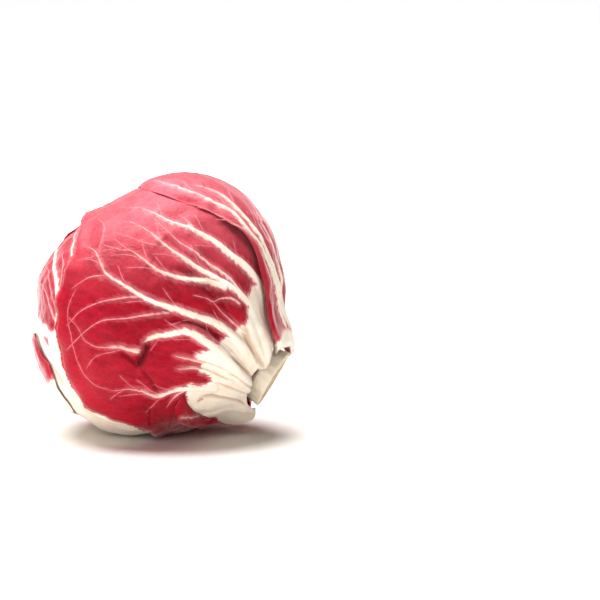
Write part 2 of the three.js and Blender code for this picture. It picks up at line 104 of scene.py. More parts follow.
# Ribs and veins, by their half width
RIB_START = (15.0, 34.0)
RIB_HIGHEST = 1.7
RIB_SHARE = 0.62
RIB_SPREAD = 1.3
RIB_REACH = 12.0
RIB_PALE = (0.1, 1.5)  # half widths between which a rib turns from rose to cream
RIB_PALEST = 0.8
PUFF_RIB = 0.55  # the blade swells between ribs that are wider than this
FAN_RIB = (0.3, 2.4, 1.5)
FAN_BEND = 14.0
TWIG_WIDTH = (0.06, 0.24, 1)
TWIGS_FROM = 1.4  # ribs with a wider base than this have side veins
TWIGS = (
    (0.15, 1, 8), (0.25, -1, 10), (0.36, 1, 12), (0.45, -1, 12), (0.55, 1, 13), (0.63, -1, 10),
)  # side veins: share of the rib's length, side, and how far they run
STRIP_TO_RIDGE = (0.22, 0.5)  # half widths between which a vein's strip turns into a ridge
STRIP_DRAWN_IN = 1.2  # the blade's own colour stays this far inside a vein that is all strip
STRIP_WIDEST = 1.3
STRIP_WIDTH = (0.12, 0.55)  # a strip's half width: this, and this share of the vein's
STRIP_HEIGHT = (0.14, 0.45)  # its height in the middle: this, and this share of its width
STRIP_SUNK = 0.06
STRIP_FOOT = 0.3
STRIP_POINTS = 5
STRIP_SHORTEST = 8  # steps
STRIP_STEPS = (1.4, 14, 90)  # steps for each mm, and the least and most in all

# Grids
LINE_PIECES = 24  # straight pieces between two given points of a smooth line
OUTLINE_STEPS = 90
EDGE_PIECES = 2000
FRONT_DENSER = 1.1  # rays stand closer by this share on the side that faces the viewer
FRONT_FROM = (-0.5, 0.2)
ROW_EASE = 0.9
TEETH_FROM = 0.9  # share of a ray's length from which the teeth bend it
TEETH_WANDER = (11, 5)  # wavelength and seed of the noise on the teeth
INNER_SKIP = 3  # the inner face of a leaf has one step where the outer has this many

# Point attributes and texture places
CREAM_FOOT = 23.0  # every leaf is cream within this way of the stem's axis
MARK_REACH = 6.0
INWARD_MOST = 40.0
UV_OUT = 0.01
UV_ROUND = 0.6

# The red tab under the cream curl: its edge on the leaf and its free edge
TAB_EDGES = (
    [(13, -36.5), (15, -41.5), (18.5, -45.2), (22.7, -47.6), (27.4, -49)],
    [(9, -42.5), (9.8, -46.5), (13.5, -50), (19, -51), (27.6, -49.6)],
)
TAB_VEIN = [(11.3, -45.5), (15.5, -46.6), (20.7, -47)]
TAB_GRID = (24, 36)
TAB_STANDS = 1.9
TAB_THICK = 0.5
TAB_GAP = 0.25


def smoothstep(low, high, x):
    """Zero below low, one above high, and the curve 3t^2 - 2t^3 between them."""
    t = np.clip((x - low) / (high - low), 0, 1)
    return t * t * (3 - 2 * t)


def mix(a, b, t):
    """Straight blend: a where t is 0 and b where it is 1."""
    return a + (b - a) * t


def unit(v):
    """A vector divided by its length."""
    return v / np.linalg.norm(v)


def body_outline(angle):
    """Radius of the body's outline: a smooth closed curve through the outline radii, a cubic
    between two of them with the slope of their neighbours."""
    count = len(OUTER_RADIUS)
    turn = np.mod(angle / (2 * math.pi), 1) * count
    i = np.floor(turn).astype(int)
    t = turn - i
    a, b, c, d = (OUTER_RADIUS[(i + k) % count] for k in (-1, 0, 1, 2))
    r = b + 0.5 * t * (c - a + t * (2 * a - 5 * b + 4 * c - d + t * (3 * (b - c) + d - a)))
    return r - LEAF_LAYERS


def body_point(n):
    """Point of the body along unit directions n (rows of across, up, near): a sphere drawn
    out to the outline across and up, and to the half depth towards the viewer."""
    spread = n[:, 0] ** 2 + n[:, 1] ** 2
    r = mix(MIDDLE_OUTLINE, body_outline(np.arctan2(n[:, 1], n[:, 0])), spread)
    return np.stack([n[:, 0] * r, n[:, 1] * r, n[:, 2] * (HALF_DEPTH - LEAF_LAYERS)], 1)


def seen(point):
    """Unit direction of a point given as seen from the front, in mm from the centre: its
    share of the way to the rim is the sine of the angle from the view."""
    u, v = point[0], point[1]
    far = len(point) > 2 and point[2] is True
    angle = math.atan2(v, u)
    rim = float(body_outline(np.array(angle))) + LEAF_LAYERS
    reach = min(NEAR_RIM, math.hypot(u, v) / rim)
    depth = math.sqrt(1 - reach * reach)
    return np.array([reach * math.cos(angle), reach * math.sin(angle), -depth if far else depth])


def between(t, start, end, a, b):
    """Straight blend over t: a at start and b at end."""
    return (end - t) / (end - start) * a + (t - start) / (end - start) * b


def smooth_line(points, steps):
    """Even steps along a centripetal Catmull-Rom curve through points: the knots stand apart
    by the square root of the way from point to point."""
    p = np.asarray(points, float)
    p = np.vstack([2 * p[0] - p[1], p, 2 * p[-1] - p[-2]])
    last = len(p) - 3
    fine = []
    for i in range(1, last + 1):
        four = p[i - 1:i + 3]
        ways = np.maximum(np.linalg.norm(np.diff(four, axis=0), axis=1), 1e-6)
        knot = np.concatenate([[0], np.cumsum(np.sqrt(ways))])
        t = np.linspace(knot[1], knot[2], LINE_PIECES, endpoint=i == last)[:, None]
        once = [between(t, knot[k], knot[k + 1], four[k], four[k + 1]) for k in range(3)]
        twice = [between(t, knot[k], knot[k + 2], once[k], once[k + 1]) for k in range(2)]
        fine.append(between(t, knot[1], knot[2], *twice))
    fine = np.vstack(fine)
    run = np.concatenate([[0], np.cumsum(np.linalg.norm(np.diff(fine, axis=0), axis=1))])
    even = np.linspace(0, run[-1], steps + 1)
    return np.stack([np.interp(even, run, fine[:, k]) for k in range(p.shape[1])], 1)


def nearest(chain, points):
    """Distance from each point to a chain, the share of the way along it, and which side:
    the least over its straight pieces, each measured from the foot on the piece."""
    best = np.full(len(points), np.inf)
    way = np.zeros(len(points))
    side = np.zeros(len(points))
    for i in range(len(chain) - 1):
        a, d = chain[i], chain[i + 1] - chain[i]
        rel = points - a
        t = np.clip(rel @ d / max(d @ d, 1e-9), 0, 1)
        off = rel - t[:, None] * d
        far = np.hypot(off[:, 0], off[:, 1])
        near = far < best
        best = np.where(near, far, best)
        way = np.where(near, (i + t) / (len(chain) - 1), way)
        side = np.where(near, np.sign(d[0] * rel[:, 1] - d[1] * rel[:, 0]), side)
    return best, way, side


def near_chain(chain, point, reach):
    """Like nearest, but only for points within reach of the chain's box; others get inf."""
    low, high = chain.min(0) - reach, chain.max(0) + reach
    close = np.all((point > low) & (point < high), axis=1)
    far = np.full(len(point), np.inf)
    way = np.zeros(len(point))
    side = np.zeros(len(point))
    if close.any():
        far[close], way[close], side[close] = nearest(chain, point[close])
    return far, way, side


def depth_inside(outline, points):
    """Distance to a closed outline, positive inside and negative outside. A point is inside
    if a line to its right crosses the outline an odd number of times."""
    closed = np.vstack([outline, outline[:1]])
    far = nearest(closed, points)[0]
    inside = np.zeros(len(points), bool)
    x, y = points[:, 0], points[:, 1]
    for (ax, ay), (bx, by) in zip(closed[:-1], closed[1:]):
        if ay == by:
            continue
        inside ^= ((ay > y) != (by > y)) & (x < (bx - ax) * (y - ay) / (by - ay) + ax)
    return np.where(inside, far, -far)


def ripple(points, wavelength, seed):
    """Smooth noise from about -1 to 1: a sum of seven sine waves in seeded directions."""
    draw = np.random.default_rng(seed)
    total = np.zeros(len(points))
    for _ in range(7):
        heading = draw.normal(size=points.shape[1])
        heading *= 2 * math.pi / (wavelength * draw.uniform(0.7, 1.5)) / np.linalg.norm(heading)
        total += np.sin(points @ heading + draw.uniform(0, 2 * math.pi))
    return total / 3.2


class Leaf:
    """One leaf: a flat map of the head round the leaf's middle, and on it the leaf's outline,
    ribs, folds, creases and patches of colour as lines."""

    def __init__(self, name, middle, margin, columns, rows, ribs=(), folds=(), creases=(),
                 strap=False, petiole=1.5, lift=1.5, waves=8, fan=0, flush=None, creams=(),
                 reds=(), scallop=(0.5, 3.6)):
        self.name = name
        self.columns = columns
        self.rows = rows
        self.strap = strap
        self.petiole = petiole
        self.lift = lift
        self.waves = waves
        self.scallop = scallop
        self.flush = flush
        self.pole = unit(seen(middle))
        self.along = unit(self.pole * (STEM @ self.pole) - STEM)
        self.side = np.cross(self.pole, self.along)
        self.root = self.flat(STEM[None])[0]
        edge = self.flat(np.array([seen(p) for p in margin]))
        after = np.roll(edge, -1, 0)
        if np.sum(edge[:, 0] * after[:, 1] - after[:, 0] * edge[:, 1]) < 0:
            edge = edge[::-1]
        self.edge = edge
        self.outline = smooth_line(edge, OUTLINE_STEPS)
        self.ribs = [(width, self.line(path)) for width, path in ribs]
        self.ribs += self.fan_ribs(fan)
        if not strap:
            foot = self.start(self.outline[::-(OUTLINE_STEPS // 9)])
            self.outline = np.vstack([self.outline, foot])
            stout = [chain for width, chain in self.ribs if width[1] > TWIGS_FROM]
            self.ribs += [(TWIG_WIDTH, self.twig(chain, *t)) for chain in stout for t in TWIGS]
        self.folds = [(*fold[:-1], self.line(fold[-1])) for fold in folds]
        self.creases = [(*crease[:-1], self.line(crease[-1])) for crease in creases]
        self.creams = [self.line([*patch, patch[0]], OUTLINE_STEPS) for patch in creams]
        self.reds = [self.line([*patch, patch[0]], OUTLINE_STEPS) for patch in reds]

    def flat(self, n):
        """Azimuthal equidistant map: angle from the leaf's middle turned into mm."""
        x, y = n @ self.along, n @ self.side
        angle = np.arccos(np.clip(n @ self.pole, -1, 1))
        k = MEAN_RADIUS * angle / np.maximum(np.hypot(x, y), 1e-9)
        return np.stack([x * k, y * k], 1)

    def round(self, p):
        """The unit directions of flat points: the inverse of the map."""
        length = np.hypot(p[:, 0], p[:, 1])
        k = np.sin(length / MEAN_RADIUS) / np.maximum(length, 1e-9)
        return (np.cos(length / MEAN_RADIUS)[:, None] * self.pole
                + (p[:, 0] * k)[:, None] * self.along + (p[:, 1] * k)[:, None] * self.side)

    def line(self, path, steps=30):
        """A smooth line on the flat map through places given as seen from the front."""
        return smooth_line(self.flat(np.array([seen(p) for p in path])), steps)

    def fan_ribs(self, count):
        """Ribs from evenly spaced places on the edge to the stem's ring, bent sideways by
        their place in the fan."""
        made = []
        for i in range(1, count + 1):
            tip = self.outline[round(OUTLINE_STEPS * (i - 0.5) / count)]
            base = self.start(tip)
            half_way = (tip + base) / 2 + np.array([0, (i / count - 0.5) * FAN_BEND])
            made.append((FAN_RIB, smooth_line([tip, half_way, base], 30)))
        return made

    def twig(self, chain, share, turn, reach):
        """A side vein: leaves the rib at a share of its length, to the left or the right, and
        bends towards the rib's tip."""
        at = round(share * (len(chain) - 1))
        foot = chain[at]
        run = unit(chain[max(at - 3, 0)] - foot)
        across = np.array([-run[1], run[0]]) * turn
        middle = foot + reach * (0.5 * run + 0.2 * across)
        return smooth_line([foot + reach * (1.1 * run + 0.6 * across), middle, foot], 16)

    def start(self, tips):
        """Points on the rays to the tips that are STEM_CLEAR from the stem's axis, found by
        halving."""
        ends = np.atleast_2d(tips)
        low, high = np.zeros(len(ends)), np.ones(len(ends))
        for _ in range(24):
            k = (low + high) / 2
            on = self.round(mix(self.root, ends, k[:, None]))
            near = np.arccos(np.clip(on @ STEM, -1, 1)) * MEAN_RADIUS < STEM_CLEAR
            low, high = np.where(near, k, low), np.where(near, high, k)
        out = mix(self.root, ends, low[:, None])
        return out if np.ndim(tips) > 1 else out[0]

    def grid(self):
        """Flat points, rays by rows: a fan from the stem's ring, or rows across a strap. The
        last rows are toothed: they move out and in by a rectified sine along the edge."""
        if self.strap:
            fine = smooth_line(self.edge, 2 * self.rows + 2)
            one, other = fine[: self.rows + 1], fine[self.rows + 2:][::-1]
            t = np.linspace(0, 1, self.columns + 1)[:, None, None]
            return mix(one[None], other[None], t)
        even = smooth_line(self.edge, EDGE_PIECES)
        dense = 1 + FRONT_DENSER * smoothstep(*FRONT_FROM, self.round(even)[:, 2])
        share = np.concatenate([[0], np.cumsum(dense[1:])])
        count = np.arange(EDGE_PIECES + 1)
        at = np.interp(np.linspace(0, share[-1], self.columns + 1), share, count)
        tips = np.stack([np.interp(at, count, even[:, k]) for k in (0, 1)], 1)
        base = self.start(tips)
        run = np.concatenate([[0], np.cumsum(np.linalg.norm(np.diff(tips, axis=0), axis=1))])
        deep, pitch = self.scallop
        wobble = ripple(run[:, None], *TEETH_WANDER)
        wave = np.abs(np.sin(math.pi * run / pitch + 1.3 * wobble)) - 0.6 + 0.5 * wobble
        length = np.linalg.norm(tips - base, axis=1)
        t = np.linspace(0, 1, self.rows + 1)[None] ** ROW_EASE
        push = (deep * wave / length)[:, None] * smoothstep(TEETH_FROM, 1, t)
        return mix(base[:, None], tips[:, None], (t + push)[:, :, None])


def leaf_state(leaf, n):
    """Depth inside the outline, blade thickness and edge lift of a leaf at directions. The
    blade thins by a smoothstep from the stem out, and the lift fades by one inwards."""
    point = leaf.flat(n)
    depth = depth_inside(leaf.outline, point)
    from_root = np.hypot(*(point - leaf.root).T)
    blade = BLADE + leaf.petiole * (1 - smoothstep(STEM_CLEAR, PETIOLE_END, from_root))
    wave = 1 + LIFT_WAVE * np.sin(leaf.waves * np.arctan2(point[:, 1], point[:, 0]))
    by_edge = 1 - smoothstep(0, LIFT_WIDTH, depth)
    lift = leaf.lift * wave * by_edge * smoothstep(*LIFT_START, from_root)
    let_down = np.zeros(len(n))
    if leaf.flush:
        raised = smoothstep(*leaf.flush, body_point(n)[:, 0])
        lift = lift * mix(FLUSH_LIFT, 1, raised)
        let_down = FLUSH_DOWN * (1 - raised) * by_edge
    return {"point": point, "depth": depth, "blade": blade, "lift": lift,
            "let_down": let_down, "from_root": from_root}


def fold_height(leaf, point):
    """Pleats: one side of each line stands up and falls off slowly as a bell curve, the
    other drops steeply into a trough, and both fade at the ends of the line."""
    high = np.zeros(len(point))
    for crest, deep, reach, drop, chain in leaf.folds:
        far, way, side = near_chain(chain, point, FOLD_REACH)
        ends = smoothstep(0, FOLD_IN, way) * (1 - smoothstep(FOLD_OUT, 1, way))
        slow = np.exp(-((far / reach[0]) ** 2))
        trough = np.exp(-((far / reach[1]) ** 2))
        steep = np.exp(-((far / drop) ** 2))
        high += ends * np.where(side > 0, crest * slow, crest * steep - deep * (trough - steep))
    return high


def ribs_at(leaf, point):
    """Ribs: rounded ridges that widen towards the base by a power of the way along. Returns
    their height, how far inside a rib's edge each point is in mm, how pale the rib is, and
    how much the blade swells between ribs."""
    high = np.zeros(len(point))
    inside = np.full(len(point), -9.0)
    pale = np.zeros(len(point))
    closest = np.full(len(point), 99.0)
    for width, chain in leaf.ribs:
        far, way, _ = near_chain(chain, point, RIB_REACH)
        half = mix(width[0], width[1], way ** width[2])
        ends = smoothstep(0, 0.05, way)
        stout = smoothstep(*STRIP_TO_RIDGE, half)
        top = np.minimum(RIB_HIGHEST, RIB_SHARE * half) * stout
        ridge = top * np.clip(1 - (far / (half * RIB_SPREAD)) ** 2, 0, 1) ** 1.2 * ends
        high = np.maximum(high, ridge)
        deep = half * ends - far - STRIP_DRAWN_IN * (1 - stout)
        pale = np.where(deep > inside, RIB_PALEST * smoothstep(*RIB_PALE, half), pale)
        inside = np.maximum(inside, deep)
        closest = np.minimum(closest, np.where(half > PUFF_RIB, far - half, 99))
    puff = PUFF[0] * smoothstep(0, PUFF[1], closest)
    return high, inside, pale, puff


def creases_at(leaf, point):
    """Creases: grooves with a bell-shaped section that fade at both ends."""
    low = np.zeros(len(point))
    for width, deep, chain in leaf.creases:
        far, way, _ = near_chain(chain, point, CREASE_REACH)
        ends = smoothstep(0, CREASE_ENDS, way) * (1 - smoothstep(1 - CREASE_ENDS, 1, way))
        narrow = width * mix(CREASE_LEAST, 1, ends)
        low = np.maximum(low, deep * ends * np.exp(-((far / narrow) ** 2)))
    return low


def leaf_heights(index, n):
    """Heights of a leaf's two faces above the body, and of all the leaves together. Each leaf
    adds its gap, lift, blade and folds to the height of the leaves beneath it, as a cloth
    that drapes over them, and its own relief fades where a higher leaf covers it."""
    states = [leaf_state(leaf, n) for leaf in LEAVES]
    shown = []
    for i in range(len(LEAVES)):
        k = np.ones(len(n))
        for above in states[i + 1:]:
            k *= 1 - smoothstep(*COVER, above["depth"])
        shown.append(k)
    under, total = np.zeros(len(n)), np.zeros(len(n))
    for i, state in enumerate(states):
        mask = 1 - smoothstep(*DRAPE, -state["depth"])
        fold = np.maximum(0, fold_height(LEAVES[i], state["point"])) * shown[i]
        rise = (GAP + state["lift"] * shown[i] + state["blade"] + fold) * mask
        if i < index:
            under = under + rise
        total = total + rise
    leaf, own, bare = LEAVES[index], states[index], shown[index]
    rib, inside, pale, puff = ribs_at(leaf, own["point"])
    groove = creases_at(leaf, own["point"]) * bare
    pucker = sum(high * ripple(n * MEAN_RADIUS, wave, index + seed) for high, wave, seed in PUCKERS)
    soft = (pucker + puff * smoothstep(0, PUFF_EDGE, own["depth"])) * bare
    soft = soft * smoothstep(*PUCKER_START, own["from_root"])
    inner = under + GAP + (own["lift"] + fold_height(leaf, own["point"])) * bare
    inner = np.maximum(inner + soft, under + GAP * 0.6) - own["let_down"]
    thick = own["blade"] * mix(EDGE_THIN, 1, smoothstep(0, EDGE_THIN_WIDTH, own["depth"]))
    raised = rib * smoothstep(*RIB_START, own["from_root"]) * bare
    outer = inner + thick + raised - np.minimum(groove, thick * CREASE_DEEPEST)
    # the crease value sets how much painted shade a point gets
    return {"inner": inner, "outer": outer, "total": total, "rib": inside, "pale": pale,
            "crease": np.clip(groove / CREASE_FULL_SHADE, 0, 1), "state": own}


def set_on_floor(n, height, below):
    """World points: body point plus height along the direction, leaned back and moved over
    the floor. Where the head rests, each layer is pressed flat at its own level."""
    body = body_point(n)
    p = body * (1 + height / np.linalg.norm(body, axis=1))[:, None]
    world = CENTRE + p @ LEANED
    world[:, 2] = np.maximum(world[:, 2], below)
    return world


def face_grid(columns, rows):
    """Quads of a grid of rays by rows, and the loop of vertices round its border."""
    grid = np.arange((columns + 1) * (rows + 1)).reshape(columns + 1, rows + 1)
    quads = np.stack([grid[:-1, :-1], grid[:-1, 1:], grid[1:, 1:], grid[1:, :-1]], -1)
    ring = np.concatenate([grid[:, 0], grid[-1, 1:], grid[-2::-1, -1], grid[0, -2:0:-1]])
    return quads.reshape(-1, 4), ring


def shell_mesh(name, outer, inner, values, flat, columns, rows):
    """A closed mesh from a fine outer grid, a coarser inner one and a rim of triangles that
    joins INNER_SKIP outer steps to each inner step."""
    quads, ring = face_grid(columns, rows)
    back, back_ring = face_grid(columns // INNER_SKIP, rows // INNER_SKIP)
    back, back_ring = back[:, ::-1] + len(outer), back_ring + len(outer)
    first = np.arange(len(back_ring)) * INNER_SKIP
    here, there = back_ring, np.roll(back_ring, -1)
    rim = []
    for k in range(INNER_SKIP):
        a, b = ring[first + k], ring[(first + k + 1) % len(ring)]
        rim.append(np.stack([a, b, here if k < INNER_SKIP - 1 else there], -1))
    rim.append(np.stack([ring[first + INNER_SKIP - 1], there, here], -1))
    faces = [*quads.tolist(), *back.tolist(), *np.vstack(rim).tolist()]
    return finished_mesh(name, np.vstack([outer, inner]) * MM, faces, values, flat)


def sheet_faces(columns, rows):
    """Faces of a thin closed sheet whose two equal grids follow one another in the vertex
    list: the first grid, the second turned over, and quads from border to border."""
    quads, ring = face_grid(columns, rows)
    count = (columns + 1) * (rows + 1)
    after = np.roll(ring, -1)
    rim = np.stack([ring, after, after + count, ring + count], -1)
    return np.vstack([quads, quads[:, ::-1] + count, rim])


def finished_mesh(name, points, faces, values, flat):
    """A smooth mesh object with point attributes and a UV map from the flat coordinates."""
    mesh = bpy.data.meshes.new(name)
    mesh.from_pydata(points.tolist(), [], faces)
    mesh.polygons.foreach_set("use_smooth", np.ones(len(faces), bool))
    for label, numbers in values.items():
        layer = mesh.attributes.new(label, "FLOAT", "POINT")
        layer.data.foreach_set("value", numbers.astype(np.float32))
    uv = mesh.uv_layers.new(name="leaf")
    corners = np.zeros(len(mesh.loops), np.int32)
    mesh.loops.foreach_get("vertex_index", corners)
    uv.data.foreach_set("uv", flat[corners].astype(np.float32).ravel())
    made = bpy.data.objects.new(name, mesh)
    bpy.context.scene.collection.objects.link(made)
    return made


def polar(leaf, flat):
    """Texture place of flat points: distance from the stem, and the turn round it."""
    rel = flat - leaf.root
    axis = -unit(leaf.root)
    turn = np.arctan2(axis[0] * rel[:, 1] - axis[1] * rel[:, 0], rel @ axis)
    return np.stack([UV_OUT * np.hypot(*rel.T), UV_ROUND * turn], 1)


def marks(leaf, heights):
    """Point attributes: mm inside the nearest rib or cream patch, its paleness, the depth
    of creases, which sets their painted shade, and the distance from the leaf's own edge."""
    own = heights["state"]
    rib, pale = heights["rib"], heights["pale"]
    areas = [depth_inside(patch, own["point"]) for patch in leaf.creams]
    if leaf.reds:
        areas.append(-np.max([depth_inside(patch, own["point"]) for patch in leaf.reds], axis=0))
    areas.append(CREAM_FOOT - own["from_root"])
    for area in areas:
        pale = np.where(area > rib, 1, pale)
        rib = np.maximum(rib, area)
    return {"rib": np.clip(rib, -MARK_REACH, MARK_REACH), "pale": pale,
            "crease": heights["crease"], "inward": np.clip(own["depth"], 0, INWARD_MOST)}


def make_leaf(index):
    """The leaf's closed mesh: a fine outer face, a coarse inner one and the rim."""
    leaf = LEAVES[index]
    grid = leaf.grid()
    sides = {"outer": grid, "inner": grid[::INNER_SKIP, ::INNER_SKIP]}
    places, values, textures = [], [], []
    for face, part in sides.items():
        flat = part.reshape(-1, 2)
        n = leaf.round(flat)
        heights = leaf_heights(index, n)
        least = 0 if face == "outer" else EDGE_THIN
        below = np.maximum(least, heights["total"] - heights[face])
        places.append(set_on_floor(n, heights[face], below))
        values.append(marks(leaf, heights))
        textures.append(polar(leaf, flat))
    values = {label: np.concatenate([values[0][label], values[1][label]]) for label in values[0]}
    return shell_mesh(leaf.name + "_blade", *places, values, np.vstack(textures),
                      leaf.columns, leaf.rows)


def vein_strip(width, chain):
    """One fine vein along the narrow part of a rib: flat points, their lifts over the blade,
    how far inside the vein they are and how pale. The section is a parabola, and the width
    tapers by smoothsteps at both ends. None where the narrow part is too short."""
    length = np.linalg.norm(np.diff(chain, axis=0), axis=1).sum()
    for_each, least, most = STRIP_STEPS
    chain = smooth_line(chain, int(np.clip(for_each * length, least, most)))
    way = np.linspace(0, 1, len(chain))
    half = mix(width[0], width[1], way ** width[2])
    keep = half < STRIP_WIDEST
    if keep.sum() < STRIP_SHORTEST:
        return None
    chain, half, way = chain[keep], half[keep], way[keep]
    run = np.gradient(chain, axis=0)
    across = np.stack([-run[:, 1], run[:, 0]], 1) / np.linalg.norm(run, axis=1)[:, None]
    wide_end = 1 - smoothstep(0.85 * half.max(), half.max(), half)
    taper = np.minimum(1, smoothstep(0, 0.06, way) * wide_end + 0.02)
    wide = (STRIP_WIDTH[0] + STRIP_WIDTH[1] * half) * taper
    section = np.linspace(-1, 1, STRIP_POINTS)
    strip = chain[:, None] + across[:, None] * (wide[:, None] * section)[:, :, None]
    high = (STRIP_HEIGHT[0] + STRIP_HEIGHT[1] * wide)[:, None]
    top = high * (1 - section ** 2) - STRIP_SUNK
    lifts = np.concatenate([top.ravel(), np.full(top.size, -STRIP_FOOT)])
    inside = np.tile(0.6 - 0.7 * np.abs(section), 2 * len(chain))
    pale = np.tile(np.repeat(RIB_PALEST * smoothstep(*RIB_PALE, half), STRIP_POINTS), 2)
    return np.tile(strip.reshape(-1, 2), (2, 1)), lifts, inside, pale


def make_veins(index):
    """Fine veins: closed strips with a lens-shaped section along the narrow part of every
    rib, laid on the blade with their edges just under its surface."""
    leaf = LEAVES[index]
    strips = [vein_strip(width, chain) for width, chain in leaf.ribs]
    strips = [strip for strip in strips if strip]
    faces, count = [], 0
    for flat, *_ in strips:
        along = len(flat) // (2 * STRIP_POINTS)
        faces.append(sheet_faces(along - 1, STRIP_POINTS - 1)[:, ::-1] + count)
        count += len(flat)
    flat, lifts, inside, pale = (np.concatenate(part) for part in zip(*strips))
    n = leaf.round(flat)
    heights = leaf_heights(index, n)
    at = heights["outer"] + lifts
    points = set_on_floor(n, at, np.maximum(0, heights["total"] - at))
    values = marks(leaf, heights)
    on_cream = smoothstep(0, 0.8, values["rib"]) * values["pale"]
    values["rib"] = np.maximum(inside, values["rib"])
    values["pale"] = np.maximum(pale, on_cream)
    values["crease"] = 0 * at
    return finished_mesh(leaf.name + "_veins", points * MM, np.vstack(faces).tolist(), values,
                         polar(leaf, flat))
